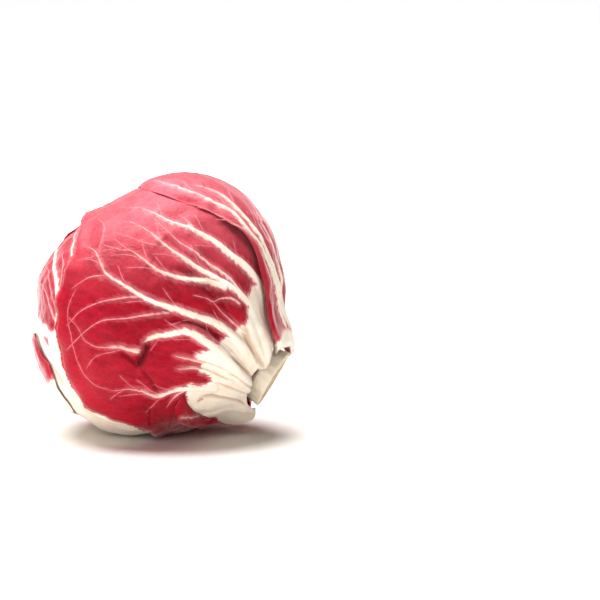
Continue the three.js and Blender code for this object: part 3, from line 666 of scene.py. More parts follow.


# The leaves from the lowest to the highest. Places are mm to the right of the head's centre
# and above it, as seen from the front. Paths of ribs run from the tip to the base.
# ribs: (half width at the tip, at the base, power of the way between them), path
# folds: height, depth of the trough, reach of both, width of the steep side, path
# creases: width, depth, path; each is cut in and darkened by painted shade
# creams and reds: outlines of patches. scallop: depth and pitch of the teeth.
LEAVES = [
    Leaf(
        "leaf_left", (-38, -36), columns=120, rows=240, strap=True, petiole=2.0, lift=1.2, waves=7,
        margin=[
            (39, -36), (29, -32), (15, -32), (0, -28), (-14, -20), (-22, -8), (-25, 8),
            (-25, 22), (-24, 36), (-22, 42, FAR), (-28, 36, FAR), (-38, 26, FAR), (-44, 13, FAR),
            (-46, 0, FAR), (-46, -13, FAR), (-42, -25, FAR), (-34, -35, FAR), (-22, -42, FAR),
            (-6, -46, FAR), (10, -46, FAR), (24, -45, FAR), (35, -44, FAR),
        ],
        ribs=[
            ((0.7, 8, 1.7), [
                (-45, 28.5), (-45.5, 23), (-45, 16.5), (-43.5, 10.5), (-42.5, 3.5), (-43, -9.5),
                (-41.5, -27.5), (-33.5, -41.5), (-20, -51), (-2.5, -54),
            ]),
            ((0.45, 0.9, 1), [(-35, 35), (-36.5, 30), (-37, 25.5), (-36.5, 19.5), (-39.5, 8)]),
            ((0.2, 0.6, 1), [(-53, 12), (-50, 9), (-46.5, 1), (-43.5, -9)]),
            ((0.2, 0.5, 1), [(-50, 20), (-48, 16), (-46.5, 8), (-43, -2)]),
            ((0.2, 0.5, 1), [(-41, 26), (-40.5, 18), (-41.5, 10), (-42.5, 4)]),
            ((0.5, 2.2, 1.4), [(-38, 20, FAR), (-46, 6, FAR), (-50, -8, FAR), (-46, -24, FAR)]),
        ],
        reds=[
            [
                (-20, 45), (-20, 20), (-37, 12), (-41, 8), (-43.2, -2), (-43.7, -11.9),
                (-48.5, -8.5), (-53.5, -4), (-53, -6, FAR), (-46, -14, FAR), (-34, -24, FAR),
                (-16, -33, FAR), (0, -38, FAR), (5, -30, FAR), (-20, 0, FAR), (-20, 30, FAR),
                (-15, 48, FAR),
            ],
            [
                (-50.8, -12.6), (-49.2, -13.1), (-48.1, -14.6), (-47.8, -17), (-49, -15.7),
                (-50.2, -14.3),
            ],
        ],
        creases=[
            (0.9, 0.8, [(-47.1, -27.3), (-44.5, -31), (-41.4, -36.5)]),
            (1.1, 0.7, [(-50, -20), (-40, -37), (-28, -48), (-12, -54)]),
        ],
    ),
    Leaf(
        "leaf_far_left", (-30, -40, FAR), columns=72, rows=150, strap=True, petiole=1.2, lift=0.6,
        waves=5,
        margin=[
            (36, -46, FAR), (20, -47, FAR), (2, -49, FAR), (-14, -50, FAR), (-27, -48, FAR),
            (-38.5, -44), (-43.5, -36.5), (-46, -30), (-47.5, -25), (-50, -21.5), (-52, -17),
            (-53.5, -12.5), (-54, -11, FAR), (-48, -13, FAR), (-42, -19, FAR), (-30, -28, FAR),
            (-11.5, -34, FAR), (15, -37, FAR), (34, -38, FAR),
        ],
        ribs=[((0.3, 2.4, 1.3), [
            (-52, -24, FAR), (-46, -34, FAR), (-33, -44, FAR), (-12, -46, FAR), (20, -43, FAR),
        ])],
        reds=[[
            (-52.5, -9), (-51, -15), (-48.6, -21.5), (-46, -26.5), (-45, -30), (-49, -29, FAR),
            (-50, -22, FAR), (-47, -18, FAR), (-50, -10, FAR), (-54, -8, FAR),
        ]],
    ),
    Leaf(
        "leaf_back_low", (0, -30, FAR), columns=180, rows=99, petiole=1.4, lift=1.2, waves=8, fan=6,
        margin=[
            (52.5, -23.5, FAR), (42, -18.5, FAR), (19.5, -13, FAR), (-7, -8, FAR), (-28, 1, FAR),
            (-42, 5.5, FAR), (-50, -3, FAR), (-50, -16.5, FAR), (-42, -33, FAR), (-27, -46, FAR),
            (-7, -54, FAR), (14, -53, FAR), (30, -49, FAR), (40, -46),
        ],
    ),
    Leaf(
        "leaf_back", (0, 6, FAR), columns=210, rows=120, petiole=1.5, lift=1.6, waves=10, fan=8,
        margin=[
            (58, -12), (56, 10, FAR), (42, 30, FAR), (22, 44, FAR), (-2.5, 48, FAR),
            (-20, 45, FAR), (-37, 34, FAR), (-48, 19, FAR), (-51, 4, FAR), (-45, -8, FAR),
            (-30, -22, FAR), (-13.5, -32, FAR), (8.5, -39, FAR), (28, -42, FAR), (40, -46, FAR),
        ],
    ),
    Leaf(
        "leaf_front", (-4, 0), columns=390, rows=213, petiole=2.0, lift=1.7, waves=17,
        scallop=(1.4, 3.1),
        margin=[
            (40, -46, FAR), (24.5, -49.5, FAR), (13, -52, FAR), (3.5, -53.5, FAR), (-3, -55),
            (-11, -51), (-20, -49.5), (-28, -45), (-34.5, -38.5), (-38.5, -30), (-41, -21.5),
            (-42, -12.5), (-42, -3.5), (-41.5, 5.5), (-38.5, 14), (-35, 22), (-33.5, 28.5),
            (-31.5, 35.5), (-27, 40.5, FAR), (-13.5, 46.5, FAR), (2, 53, FAR), (19.5, 55, FAR),
            (35, 48, FAR), (48, 33, FAR), (56, 14, FAR), (58, -6, FAR), (60, -15, FAR),
        ],
        ribs=[
            # The lowest long rib and its side veins
            ((0.3, 3.4, 1.35), [
                (-29.5, 26.5), (-24, 23.5), (-21.5, 19), (-19.5, 14.5), (-15.5, 11.5),
                (-10, 8.5), (-2, 3.5), (9, 0), (20.5, -4), (29, -7), (37, -13), (44.5, -24),
                (49.5, -33.5),
            ]),
            ((0.12, 0.35, 1), [(-24, 38.5), (-21, 35), (-21, 30), (-22.5, 23.5)]),
            ((0.12, 0.3, 1), [(-31, 20), (-28.5, 20.5), (-23.5, 21)]),
            ((0.12, 0.4, 1), [(-35, 8.5), (-31, 11), (-26.5, 13), (-19.5, 13.5)]),
            ((0.12, 0.5, 1), [(-37, -7.5), (-31, -1.5), (-22, 2.5), (-6, 5)]),
            ((0.06, 0.24, 1), [
                (-33, 8.5), (-36.3, -1), (-36, -10), (-34.5, -20), (-31.5, -28.5), (-26, -34.5),
                (-18, -37),
            ]),
            ((0.06, 0.22, 1), [(-30, -27), (-26, -22), (-19, -20), (-12, -19)]),
            ((0.06, 0.22, 1), [(-36, -4), (-33, -8), (-30, -14), (-25, -17.2)]),
            ((0.12, 0.5, 1), [
                (-38, -18.5), (-30, -10.5), (-22, -5.5), (-11.5, -4.5), (-1, -3), (7.5, -2),
            ]),
            # The short rib above it, which goes in under the pleat, and its fork
            ((0.2, 1.5, 1.6), [
                (-22, 26), (-17, 25.5), (-12, 24), (-10, 24.5), (-3, 20.5), (2.5, 18), (14, 15),
                (24, 13), (31.5, 9.5),
            ]),
            ((0.2, 0.6, 1), [(18.5, 6), (24, 4.5), (27, 3), (31.5, 4.5), (37, 2)]),
            ((0.2, 0.7, 1), [(27, 3), (31, -2), (37, -7), (42, -12)]),
            # The rib on the pleat
            ((0.25, 3.4, 1.7), [
                (-16.5, 37.5), (-11, 38), (-2, 34.5), (4, 31), (15.5, 24), (25, 17), (35, 8.5),
                (42, 1.5), (46.5, -9.5), (49.5, -23),
            ]),
            ((0.12, 0.35, 1), [(-16.5, 32.5), (-11.5, 31), (-3.5, 29), (6.5, 29)]),
            ((0.2, 1.1, 1.4), [
                (-1, 42.5), (6, 36.5), (15.5, 30), (21, 26.5), (26.5, 21.5), (33.5, 14.5),
                (40, 3.5),
            ]),
            # The highest rib, by the edge of the top leaf
            ((0.25, 3.4, 1.5), [
                (-15, 45), (-8.5, 45), (-0.5, 43.5), (9, 40.5), (20, 37), (29.5, 31.5),
                (37, 24.5), (45, 16), (49.5, 7), (52.5, -9.5),
            ]),
            ((0.2, 0.6, 1), [(12, 44), (15.5, 41.5), (20, 37)]),
            # Low ribs: the ridge beside the trough, short ribs in the base and the lowest one
            ((0.2, 0.8, 1), [(-28, -16), (-24, -17.5), (-17, -17.5), (-11.5, -19), (-6.5, -20)]),
            ((0.9, 3.8, 1.2), [
                (-4.5, -16.5), (0, -13), (6.5, -11), (15, -10), (20.5, -13), (28, -18.5),
                (35, -26.5), (41, -36),
            ]),
            ((0.4, 1.2, 1), [(9, -20), (16.5, -22), (23, -24), (35, -28)]),
            ((0.4, 1.2, 1), [(10, -25.5), (19.5, -26), (33.5, -31)]),
            ((0.2, 2.2, 1.3), [
                (-19, -37), (-9, -36.5), (-3, -37.5), (2, -38.5), (7, -36), (14, -34.5),
                (26, -34.5),
            ]),
            ((0.2, 0.7, 1), [(5.5, -43.5), (9, -38.5), (14, -35)]),
            ((0.4, 0.7, 1), [(11.7, -47.1), (15.5, -48), (20.7, -47.5)]),
            ((1.6, 2.2, 1), [(20.5, -46), (24.5, -46), (29, -43.5), (37, -40), (44, -35)]),
        ],
        folds=[
            (1.5, 0.9, (4, 3), 0.7, [
                (2, -12.5), (-1.5, -17), (-3.6, -20.5), (-5.2, -24), (-8.5, -29),
            ]),
            (3.2, 1.3, (9, 7), 1.3, [
                (10.5, 20), (22, 14.5), (32, 4.5), (41, -9), (46, -22.5), (48.5, -33.5),
            ]),
            (2.6, 1.5, (8, 6), 1.5, [
                (43, -34), (36, -25), (29, -16.5), (21, -10), (14, -7.5), (5, -8.5), (-3, -13),
            ]),
        ],
        creases=[
            (0.8, 1.4, [(31.7, -19.4), (37, -24), (43.6, -31.2)]),
            (0.8, 1.3, [(-16, -19), (-12.5, -21.6), (-9, -24.4), (-5.5, -27.5)]),
            (0.8, 1.3, [(-6, -26), (-2.5, -30), (0.5, -34), (3.2, -39)]),
            (0.6, 0.8, [(-1.3, -43.1), (-2.2, -47), (-1.8, -51.5)]),
            (1.6, 2.4, [(-0.5, -15), (-2.6, -18), (-4.2, -21.5), (-5.8, -24.6), (-8, -28)]),
            (0.5, 1.0, [(-5, -14), (-3.5, -17), (-1.5, -19), (1.5, -20)]),
            (1.7, 1.3, [(9, 21.3), (15, 18.7), (21, 14.6), (26.5, 9.5), (31, 4.6), (36, -2)]),
            (0.9, 1.2, [(8.5, -46), (10.9, -48.4), (15.6, -51), (21, -50.6), (28, -51.2)]),
            (0.8, 1.5, [(18.5, -40.9), (20, -40), (22, -39.2)]),
            (1.2, 1.8, [(19, -46.6), (21.5, -48.6), (27.7, -51)]),
            (0.9, 1.3, [(36, -3), (40, -7.9), (42.2, -13.5), (44.7, -20.5), (47, -27.6)]),
            (1.0, 1.2, [(16, -40.5), (18.7, -39.4), (25, -37.8), (32.9, -38.6), (39.2, -40.9)]),
            (0.7, 0.9, [(22, -31), (29, -32.5), (36, -35), (42, -36)]),
            (0.7, 0.8, [(26, -26), (32, -27.5), (38, -31.5), (43, -35)]),
            (0.5, 0.5, [(30, -14), (36, -19.5), (41, -27), (44.5, -33)]),
            (0.9, 1.2, [(4.4, -5.6), (12, -6.6), (20, -7.4), (27, -10.5), (32, -15)]),
            (0.5, 0.6, [(13, -42), (14.5, -46), (15, -52)]),
            (0.5, 0.5, [(8, -44), (7, -50), (6, -54)]),
        ],
        creams=[[
            (44.7, 10), (41.5, 3), (40, -6.8), (29, -16.6), (25, -18.2), (17.5, -20.1),
            (18.7, -21.7), (22.7, -24.4), (19.5, -26.4), (25, -30), (21.9, -33.1), (14, -32.7),
            (14.4, -36.2), (14.8, -42.5), (18.7, -45.7), (22.7, -48), (27.4, -51.2),
            (31, -50, FAR), (40, -44, FAR), (52, -28, FAR), (60, -12, FAR), (58, 4), (50, 10),
        ]],
    ),
    Leaf(
        "leaf_top", (26, 50), columns=240, rows=150, petiole=1.7, lift=1.7, waves=5, flush=(14, 36),
        margin=[
            (53, -18), (50, -10), (48.5, 2), (47.5, 12), (46, 20), (43.5, 28), (39, 35),
            (34, 40.5), (28.5, 44.5), (22.5, 47), (15, 48.7), (7.5, 50.4), (3, 51.8),
            (-0.5, 52.8), (-4, 53.8), (-6.5, 54.5), (-10.5, 49.5, FAR), (-12.5, 38.5, FAR),
            (-9, 25.5, FAR), (2, 14, FAR), (19.5, 7, FAR), (37, 1.5, FAR), (50, -12, FAR),
        ],
        scallop=(0.3, 5),
        ribs=[
            ((0.35, 2.0, 1.2), [
                (-0.5, 56.5), (4.5, 55.5), (15, 52.5), (22, 50), (29, 46), (35, 42), (40, 36),
                (48.5, 25.5), (52.5, 14.5), (55, -6),
            ]),
            ((0.5, 3.0, 1.2), [
                (18.5, 55), (28.5, 52), (37.5, 44.5), (46, 33.5), (50, 25.5), (53.5, 14.5),
                (56, -8),
            ]),
            ((0.4, 2.6, 1.3), [
                (10, 50, FAR), (26, 46, FAR), (39, 35, FAR), (47.5, 20, FAR), (52, 4, FAR),
                (55, -10, FAR), (55.5, -16),
            ]),
            ((0.4, 2.6, 1.3), [
                (0, 38, FAR), (18, 34, FAR), (34, 24, FAR), (44, 10, FAR), (49.5, -2, FAR),
                (53.5, -13, FAR),
            ]),
            ((0.3, 1.6, 1.2), [(40, 49.5), (47, 39), (51, 31), (54, 21), (56, 10), (56.5, -4)]),
            ((0.15, 0.5, 1), [(20, 47), (28, 43.5), (35, 38), (42, 33)]),
            ((0.15, 0.4, 1), [(2, 42, FAR), (10, 44, FAR), (22, 40, FAR), (32, 34, FAR)]),
            ((0.15, 0.5, 1), [(8, 26, FAR), (20, 24, FAR), (34, 18, FAR), (44, 8, FAR)]),
            ((0.15, 0.5, 1), [(14, 14, FAR), (26, 12, FAR), (38, 8, FAR), (48, 0, FAR)]),
        ],
    ),
]


# Finish: colours are linear red, green, blue
DEEP = (0.25, 0.001, 0.009)
BRIGHT = (0.44, 0.006, 0.022)
CREAM = (0.94, 0.89, 0.78)
HEART_DEEP = (0.22, 0.002, 0.015)
HEART_BRIGHT = (0.36, 0.01, 0.04)
NET_RED = (0.60, 0.04, 0.08, 1)
# Painted sheen: a pale pink laid on the upper parts of the leaves, standing in for the light from
# above
PAINTED_SHEEN = (0.70, 0.20, 0.25, 1)
PAINTED_SHEEN_HEIGHT = (0.066, 0.112)  # in m: the painted sheen starts and is full at these heights
PAINTED_SHEEN_MOST = 0.42
ROSE_BORDER = (0.80, 0.27, 0.30, 1)
WARM_CREAM = (0.90, 0.77, 0.60, 1)
THINNEST_VEIN = (0.74, 0.20, 0.24, 1)
THIN_VEIN = (0.88, 0.48, 0.46, 1)
# Painted shade in creases, on red and on cream
RED_CREASE_SHADE = (0.26, 0.10, 0.15, 1)
CREAM_CREASE_SHADE = (0.42, 0.24, 0.13, 1)
WHITE = (1.0, 1.0, 1.0, 1)


class Wiring:
    """Short names for making and joining nodes of one node tree."""

    def __init__(self, tree):
        self.nodes = tree.nodes
        self.links = tree.links

    def fill(self, socket, value):
        """Set a socket to a number or colour, or join it to another socket."""
        if isinstance(value, (tuple, float)):
            socket.default_value = value
        else:
            self.links.new(value, socket)

    def attribute(self, label):
        """A point attribute of the mesh."""
        node = self.nodes.new("ShaderNodeAttribute")
        node.attribute_name = label
        return node.outputs["Fac"]

    def noise(self, scale, detail, vector, stretch=None):
        """Noise of a vector, which may first be stretched by three scales."""
        node = self.nodes.new("ShaderNodeTexNoise")
        node.inputs["Scale"].default_value = scale
        node.inputs["Detail"].default_value = detail
        node.inputs["Roughness"].default_value = 0.6
        if stretch:
            mapping = self.nodes.new("ShaderNodeMapping")
            mapping.inputs["Scale"].default_value = stretch
            self.links.new(vector, mapping.inputs["Vector"])
            vector = mapping.outputs["Vector"]
        self.links.new(vector, node.inputs["Vector"])
        return node.outputs["Fac"]

    def span(self, value, low, high, to_low=0.0, to_high=1.0):
        """Straight map of low..high onto to_low..to_high, held at both ends."""
        node = self.nodes.new("ShaderNodeMapRange")
        node.inputs["From Min"].default_value = low
        node.inputs["From Max"].default_value = high
        node.inputs["To Min"].default_value = to_low
        node.inputs["To Max"].default_value = to_high
        self.links.new(value, node.inputs["Value"])
        return node.outputs["Result"]

    def blend(self, factor, one, two, kind="MIX"):
        """One colour where the factor is 0 and the other where it is 1."""
        node = self.nodes.new("ShaderNodeMix")
        node.data_type = "RGBA"
        node.blend_type = kind
        self.fill(node.inputs[0], factor)
        self.fill(node.inputs[6], one)
        self.fill(node.inputs[7], two)
        return node.outputs[2]

    def sum(self, *values):
        """All the values added up."""
        total = values[0]
        for value in values[1:]:
            total = self.work("ADD", total, value)
        return total

    def times(self, one, two):
        """Two values multiplied."""
        return self.work("MULTIPLY", one, two)

    def work(self, kind, one, two):
        """One step of arithmetic on two values."""
        node = self.nodes.new("ShaderNodeMath")
        node.operation = kind
        self.fill(node.inputs[0], one)
        self.fill(node.inputs[1], two)
        return node.outputs[0]

    def bump(self, height, strength, distance, shader):
        """Relief on a shader's normal from a height."""
        node = self.nodes.new("ShaderNodeBump")
        node.inputs["Strength"].default_value = strength
        node.inputs["Distance"].default_value = distance
        self.links.new(height, node.inputs["Height"])
        self.links.new(node.outputs["Normal"], shader.inputs["Normal"])


def new_material(name):
    """A material with nodes: itself, its wiring and its shader."""
    material = bpy.data.materials.new(name)
    material.use_nodes = True
    return material, Wiring(material.node_tree), material.node_tree.nodes["Principled BSDF"]


def leaf_material(name, deep, bright, cream):
    """Satin leaf: crimson with brighter streaks, feathered cream ribs and a fine vein net."""
    material, wiring, shader = new_material(name)
    shader.inputs["Specular IOR Level"].default_value = 0.25
    shader.inputs["Specular Tint"].default_value = (1.0, 0.3, 0.35, 1)
    shader.inputs["Sheen Weight"].default_value = 0.75
    shader.inputs["Sheen Roughness"].default_value = 0.3
    shader.inputs["Sheen Tint"].default_value = (1.0, 0.8, 0.8, 1)
    group = wiring.nodes.new("ShaderNodeGroup")
    group.node_tree = leaf_surface()
    group.inputs["Deep"].default_value = (*deep, 1)
    group.inputs["Bright"].default_value = (*bright, 1)
    group.inputs["Cream"].default_value = (*cream, 1)
    wiring.links.new(group.outputs["Colour"], shader.inputs["Base Color"])
    wiring.links.new(group.outputs["Roughness"], shader.inputs["Roughness"])
    wiring.bump(group.outputs["Height"], 0.4, 0.0005, shader)
    return material


def cell_net(wiring, place):
    """A net of fine lines: the borders of Voronoi cells whose places wander by a noise."""
    cells = wiring.nodes.new("ShaderNodeTexVoronoi")
    cells.feature = "DISTANCE_TO_EDGE"
    cells.inputs["Scale"].default_value = 330
    wander = wiring.nodes.new("ShaderNodeTexNoise")
    wander.inputs["Scale"].default_value = 300
    wiring.links.new(place, wander.inputs["Vector"])
    bent = wiring.nodes.new("ShaderNodeVectorMath")
    bent.operation = "MULTIPLY_ADD"
    wiring.links.new(wander.outputs["Color"], bent.inputs[0])
    bent.inputs[1].default_value = (0.003, 0.003, 0.003)
    wiring.links.new(place, bent.inputs[2])
    wiring.links.new(bent.outputs[0], cells.inputs["Vector"])
    return wiring.span(cells.outputs["Distance"], 0.0, 0.12, 1.0, 0.0)


def leaf_surface():
    """Group: leaf colour, roughness and height from the point attributes, streaky noise that
    is stretched along the leaf, and the cell borders of a Voronoi pattern as fine veins."""
    tree = bpy.data.node_groups.get("leaf surface")
    if tree:
        return tree
    tree = bpy.data.node_groups.new("leaf surface", "ShaderNodeTree")
    for label in ("Deep", "Bright", "Cream"):
        tree.interface.new_socket(label, in_out="INPUT", socket_type="NodeSocketColor")
    tree.interface.new_socket("Colour", in_out="OUTPUT", socket_type="NodeSocketColor")
    tree.interface.new_socket("Roughness", in_out="OUTPUT", socket_type="NodeSocketFloat")
    tree.interface.new_socket("Height", in_out="OUTPUT", socket_type="NodeSocketFloat")
    wiring = Wiring(tree)
    given = tree.nodes.new("NodeGroupInput")
    result = tree.nodes.new("NodeGroupOutput")
    uv = tree.nodes.new("ShaderNodeUVMap")
    uv.uv_map = "leaf"
    along = uv.outputs["UV"]
    here = tree.nodes.new("ShaderNodeTexCoord").outputs["Object"]
    height_above = tree.nodes.new("ShaderNodeSeparateXYZ")
    tree.links.new(here, height_above.inputs[0])
    span, blend, times = wiring.span, wiring.blend, wiring.times

    # Patterns: long streaks along the leaf, soft mottling, fine grain and a net of cells
    streaks = wiring.noise(1, 5, along, (9, 55, 1))
    feather = wiring.noise(1, 3, along, (28, 110, 1))
    broad = wiring.noise(38, 3, here)
    mottle = wiring.noise(170, 5, here)
    grain = wiring.noise(1100, 2, here)
    net = cell_net(wiring, here)

    # The blade: deep and bright crimson, paler at its edge, with the net in it, and a painted sheen
    # high up
    tone = wiring.sum(
        span(streaks, 0.36, 0.68, 0.0, 0.6),
        span(mottle, 0.4, 0.7, 0.0, 0.35),
        span(broad, 0.35, 0.65, -0.15, 0.25),
        span(wiring.attribute("inward"), 1.0, 12.0, 0.35, 0.0),
    )
    red = blend(tone, given.outputs["Deep"], given.outputs["Bright"])
    red = blend(times(net, 0.1), red, NET_RED)
    # Painted sheen: paler pink higher up on the head, in patches by the mottle, standing in for the
    # light from above
    painted_sheen = span(height_above.outputs["Z"], *PAINTED_SHEEN_HEIGHT, 0.0, PAINTED_SHEEN_MOST)
    red = blend(times(painted_sheen, span(mottle, 0.2, 0.6, 0.5, 1.0)), red, PAINTED_SHEEN)

    # Ribs: a rose border, then cream, with teeth made by the feather noise
    rib, pale = wiring.attribute("rib"), wiring.attribute("pale")
    ragged = wiring.sum(rib, span(feather, 0.3, 0.7, -0.75, 0.75))
    rose = times(span(ragged, -2.2, 0.3), span(pale, 0.0, 1.0, 0.3, 0.8))
    red = blend(rose, red, ROSE_BORDER)
    warm = blend(span(mottle, 0.35, 0.7), given.outputs["Cream"], WARM_CREAM)
    tint = blend(span(pale, 0.0, 0.2), THINNEST_VEIN, THIN_VEIN)
    tint = blend(span(pale, 0.15, 0.65), tint, warm)
    teeth = times(span(feather, 0.3, 0.7, -1.0, 1.0), span(pale, 0.75, 1.0, 0.4, 1.3))
    on_rib = span(wiring.sum(rib, teeth), -0.3, 0.45)
    colour = blend(on_rib, red, tint)

    # Painted shade in the creases: a warm tone on cream and a cold one on red
    crease_shade_colour = blend(on_rib, RED_CREASE_SHADE, CREAM_CREASE_SHADE)
    painted_crease_shade = blend(wiring.attribute("crease"), WHITE, crease_shade_colour)
    tree.links.new(blend(1.0, colour, painted_crease_shade, "MULTIPLY"), result.inputs["Colour"])
    tree.links.new(span(mottle, 0.3, 0.7, 0.36, 0.52), result.inputs["Roughness"])
    height = wiring.sum(times(net, 0.3), times(mottle, 0.8), times(grain, 0.2), times(feather, 0.5))
    tree.links.new(height, result.inputs["Height"])
    return tree


def make_tab():
    """The red tab under the cream curl: a thin closed sheet between two lines on the front
    leaf. It starts on the blade and stands off it more and more towards its free edge, by a
    smoothstep with a small wave."""
    index = [leaf.name for leaf in LEAVES].index("leaf_front")
    leaf = LEAVES[index]
    across, along = TAB_GRID
    upper, lower = (leaf.line(edge, along) for edge in TAB_EDGES)
    t = np.linspace(0, 1, across + 1)
    flat = mix(lower[None], upper[None], t[:, None, None]).reshape(-1, 2)
    heights = leaf_heights(index, leaf.round(flat))
    free = 1 - np.repeat(t, along + 1)
    way = np.tile(np.linspace(0, 1, along + 1), across + 1)
    ends = smoothstep(0, 0.2, way) * (1 - smoothstep(0.8, 1, way))
    stand = TAB_STANDS * smoothstep(0, 1, free) * (0.4 + 0.6 * ends)
    stand = TAB_GAP + stand + 0.2 * np.sin(9 * way) * free
    places = []
    for extra in (TAB_THICK, 0):
        at = heights["outer"] + stand + extra
        places.append(set_on_floor(leaf.round(flat), at, np.full(len(at), 0.2 + extra)))
    vein = nearest(leaf.line(TAB_VEIN), flat)[0]
    # The crease value paints shade on the tab where it leaves the blade
    values = {"rib": 0.35 - vein, "pale": np.full(len(flat), 0.7),
              "crease": 0.5 * (1 - free) ** 3, "inward": 6 * (1 - free)}
    values = {label: np.tile(numbers, 2) for label, numbers in values.items()}
    return finished_mesh("leaf_front_tab", np.vstack(places) * MM,
                         sheet_faces(across, along).tolist(), values,
                         np.tile(polar(leaf, flat), (2, 1)))


STEM_TURNS = 120
STEM_FACE_RINGS = 26
# The stem's side and rounded rim: shares of its radius and of its length
STEM_SIDE = np.array([0.96, 0.99, 1.02, 1.04, 1.06, 1.07, 1.05, 1.01])
STEM_RISE = np.array([0.09, 0.25, 0.5, 0.68, 0.82, 0.92, 0.975, 1.0])


def make_stem():
    """The cut butt: rings round the stem's axis with a wavy radius, a rounded rim and a cut
    face that dips by a few shallow rings, made by a cosine of the distance from the axis."""
    middle = body_point(STEM[None])[0]
    direction, foot = unit(middle), np.linalg.norm(middle)
    side = unit(np.cross(direction, [0, 0, 1]))
    over = np.cross(direction, side)
    radius = np.concatenate([STEM_SIDE, np.linspace(0.95, 0.03, STEM_FACE_RINGS)])
    out = STEM_LENGTH * np.concatenate([STEM_RISE, np.ones(STEM_FACE_RINGS)])
    face = radius[len(STEM_SIDE):]
    out[len(STEM_SIDE):] -= 0.22 * (1 - np.cos(face * 19)) + 0.2 * (1 - face)
    turn = np.linspace(0, 2 * math.pi, STEM_TURNS, endpoint=False)
    wavy = 1 + 0.05 * np.sin(3 * turn) + 0.03 * np.sin(5 * turn + 1)
    ridges = 1 - 0.012 * np.cos(turn * 17 + 1.5 * np.sin(turn * 4))
    r = STEM_RADIUS * 0.99 * radius[:, None] * (wavy * ridges)[None]
    rings = (foot + out)[:, None, None] * direction + r[:, :, None] * (
        np.cos(turn)[:, None] * side + np.sin(turn)[:, None] * over)
    ends = np.array([direction * (foot + out[0]), direction * (foot + out[-1])])
    points = np.vstack([rings.reshape(-1, 3), ends]) @ LEANED + CENTRE
    grid = np.arange(len(radius) * STEM_TURNS).reshape(-1, STEM_TURNS)
    after = np.roll(grid, -1, 1)
    quads = np.stack([grid[:-1], after[:-1], after[1:], grid[1:]], -1).reshape(-1, 4)
    first = np.stack([after[0], grid[0], np.full(STEM_TURNS, grid.size)], -1)
    last = np.stack([grid[-1], after[-1], np.full(STEM_TURNS, grid.size + 1)], -1)
    faces = [*quads.tolist(), *first.tolist(), *last.tolist()]
    on_top = smoothstep(STEM_LENGTH - 0.8, STEM_LENGTH - 0.3, out)
    trimmed = on_top * (1 - smoothstep(0.97, 1.04, radius))
    values = {"cut": np.concatenate([np.repeat(trimmed, STEM_TURNS), [0, 1]])}
    return finished_mesh("stem_butt", points * MM, faces, values, points[:, :2] * UV_OUT)


def stem_material():
    """Cream side and a tan cut face: two ramps of one noise, and the cut attribute between
    them."""
    material, wiring, shader = new_material("cut stem")
    shader.inputs["Roughness"].default_value = 0.65
    coordinates = wiring.nodes.new("ShaderNodeTexCoord")
    noise = wiring.nodes.new("ShaderNodeTexNoise")
    noise.inputs["Scale"].default_value = 260
    noise.inputs["Detail"].default_value = 6
    wiring.links.new(coordinates.outputs["Object"], noise.inputs["Vector"])

    def ramp(one, two):
        """Two colours, one at the noise's low end and one at its high end."""
        node = wiring.nodes.new("ShaderNodeValToRGB")
        node.color_ramp.elements[0].position = 0.35
        node.color_ramp.elements[0].color = one
        node.color_ramp.elements[1].position = 0.68
        node.color_ramp.elements[1].color = two
        wiring.links.new(noise.outputs["Fac"], node.inputs["Fac"])
        return node.outputs["Color"]

    side = ramp((0.88, 0.79, 0.62, 1), (0.93, 0.87, 0.74, 1))
    face = ramp((0.42, 0.24, 0.11, 1), (0.74, 0.56, 0.35, 1))
    both = wiring.blend(wiring.attribute("cut"), side, face)
    wiring.links.new(both, shader.inputs["Base Color"])
    wiring.bump(noise.outputs["Fac"], 0.5, 0.0006, shader)
    return material


def set_finish(made, material, replaced=None):
    """Give a piece its material, attach it to the root body and hide the plain part it replaces, if
    there is one.
    """
    made.data.materials.clear()
    made.data.materials.append(material)
    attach(made, "root")
    if replaced:
        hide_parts(replaced)


# The leaves replace their plain solids, and their fine veins lie on them
wrapper = leaf_material("satin crimson leaf", DEEP, BRIGHT, CREAM)
inner_leaf = leaf_material("dark inner leaf", HEART_DEEP, HEART_BRIGHT, CREAM)
for number, leaf in enumerate(LEAVES):
    set_finish(make_leaf(number), wrapper, leaf.name)
    set_finish(make_veins(number), wrapper)
set_finish(make_tab(), wrapper)
set_finish(make_stem(), stem_material(), "stem")
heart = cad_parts["heart"]
heart.data.materials.clear()
heart.data.materials.append(inner_leaf)


# Floor, light and camera
PIXEL = 0.44  # mm across one pixel of the 600 pixel frame
FRAME_PIXELS = 600
HEAD_PIXEL = (156, 308)  # where the head's centre stands in the frame
VIEW_DISTANCE = 2.2
SENSOR = 36.0
FLOOR_GLOW = (0.12, 0.9, 0.0, 0.9)  # the floor glows from 0 to 0.9 between these distances in m
ROOM_LIGHT = 0.42
BACKDROP = 1.1  # brightness of the white behind the head, for the camera only
LIGHTS_AIM = np.array([0, 0, 0.055])


def make_floor():
    """A wide white plane that starts to glow away from the head, so that it ends in white."""
    bpy.ops.mesh.primitive_plane_add(size=6, location=(0, 0, 0))
    floor = bpy.context.object
    floor.name = "floor"
    material, wiring, shader = new_material("white floor")
    shader.inputs["Base Color"].default_value = (0.93, 0.90, 0.87, 1)
    shader.inputs["Roughness"].default_value = 0.6
    shader.inputs["Emission Color"].default_value = (1, 1, 1, 1)
    coordinates = wiring.nodes.new("ShaderNodeTexCoord")
    length = wiring.nodes.new("ShaderNodeVectorMath")
    length.operation = "LENGTH"
    wiring.links.new(coordinates.outputs["Object"], length.inputs[0])
    glow = wiring.span(length.outputs["Value"], *FLOOR_GLOW)
    wiring.links.new(glow, shader.inputs["Emission Strength"])
    floor.data.materials.append(material)


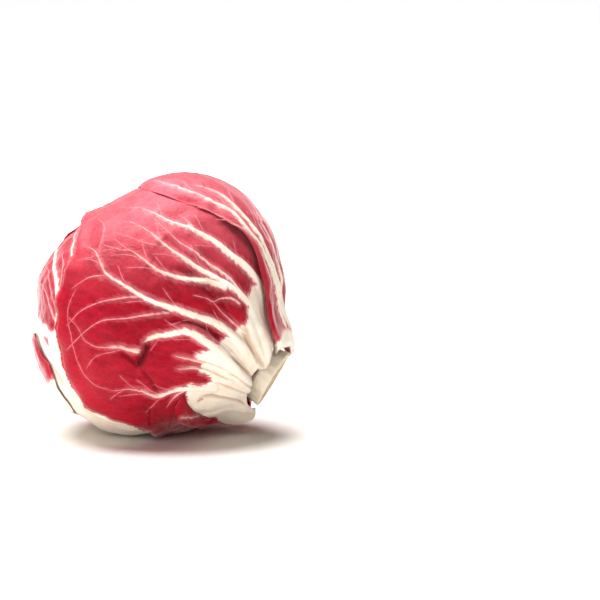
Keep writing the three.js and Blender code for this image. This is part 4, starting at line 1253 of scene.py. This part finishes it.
def make_light(name, place, size, watts, colour=(1, 1, 1)):
    """A round area light at a place, turned towards the head."""
    lamp = bpy.data.lights.new(name, "AREA")
    lamp.shape = "DISK"
    lamp.size = size
    lamp.energy = watts
    lamp.color = colour
    made = bpy.data.objects.new(name, lamp)
    bpy.context.scene.collection.objects.link(made)
    made.location = place
    aim = LIGHTS_AIM - np.array(place)
    made.rotation_euler = Vector(aim).to_track_quat("-Z", "Y").to_euler()


def make_camera():
    """A long lens that looks down by the head's lean, at the place where the middle of the
    frame lies from the head's centre."""
    camera = bpy.data.cameras.new("camera")
    camera.sensor_width = SENSOR
    camera.lens = SENSOR * VIEW_DISTANCE / (PIXEL * MM * FRAME_PIXELS)
    camera.clip_end = 20
    made = bpy.data.objects.new("camera", camera)
    bpy.context.scene.collection.objects.link(made)
    half = FRAME_PIXELS / 2
    across = (half - HEAD_PIXEL[0]) * PIXEL * MM
    up = (HEAD_PIXEL[1] - half) * PIXEL * MM
    aim = CENTRE * MM + np.array([across, math.sin(LEAN) * up, math.cos(LEAN) * up])
    made.location = aim + VIEW_DISTANCE * np.array([0, -math.cos(LEAN), math.sin(LEAN)])
    made.rotation_euler = (math.pi / 2 - LEAN, 0, 0)
    bpy.context.scene.camera = made


def make_room():
    """Even light from all round, and a brighter white where the camera sees past the floor."""
    world = bpy.data.worlds.new("white room")
    world.use_nodes = True
    nodes, links = world.node_tree.nodes, world.node_tree.links
    background = nodes["Background"]
    background.inputs["Strength"].default_value = ROOM_LIGHT
    backdrop = nodes.new("ShaderNodeBackground")
    backdrop.inputs["Strength"].default_value = BACKDROP
    path = nodes.new("ShaderNodeLightPath")
    either = nodes.new("ShaderNodeMixShader")
    links.new(path.outputs["Is Camera Ray"], either.inputs[0])
    links.new(background.outputs[0], either.inputs[1])
    links.new(backdrop.outputs[0], either.inputs[2])
    links.new(either.outputs[0], nodes["World Output"].inputs["Surface"])
    bpy.context.scene.world = world


make_floor()
make_light("overhead", (-0.15, 0.12, 0.9), 0.9, 23.5)
make_light("front fill", (-0.5, -1.1, 0.45), 0.8, 6, (1, 0.97, 0.94))
make_camera()
make_room()
bpy.context.scene.view_settings.view_transform = "Standard"
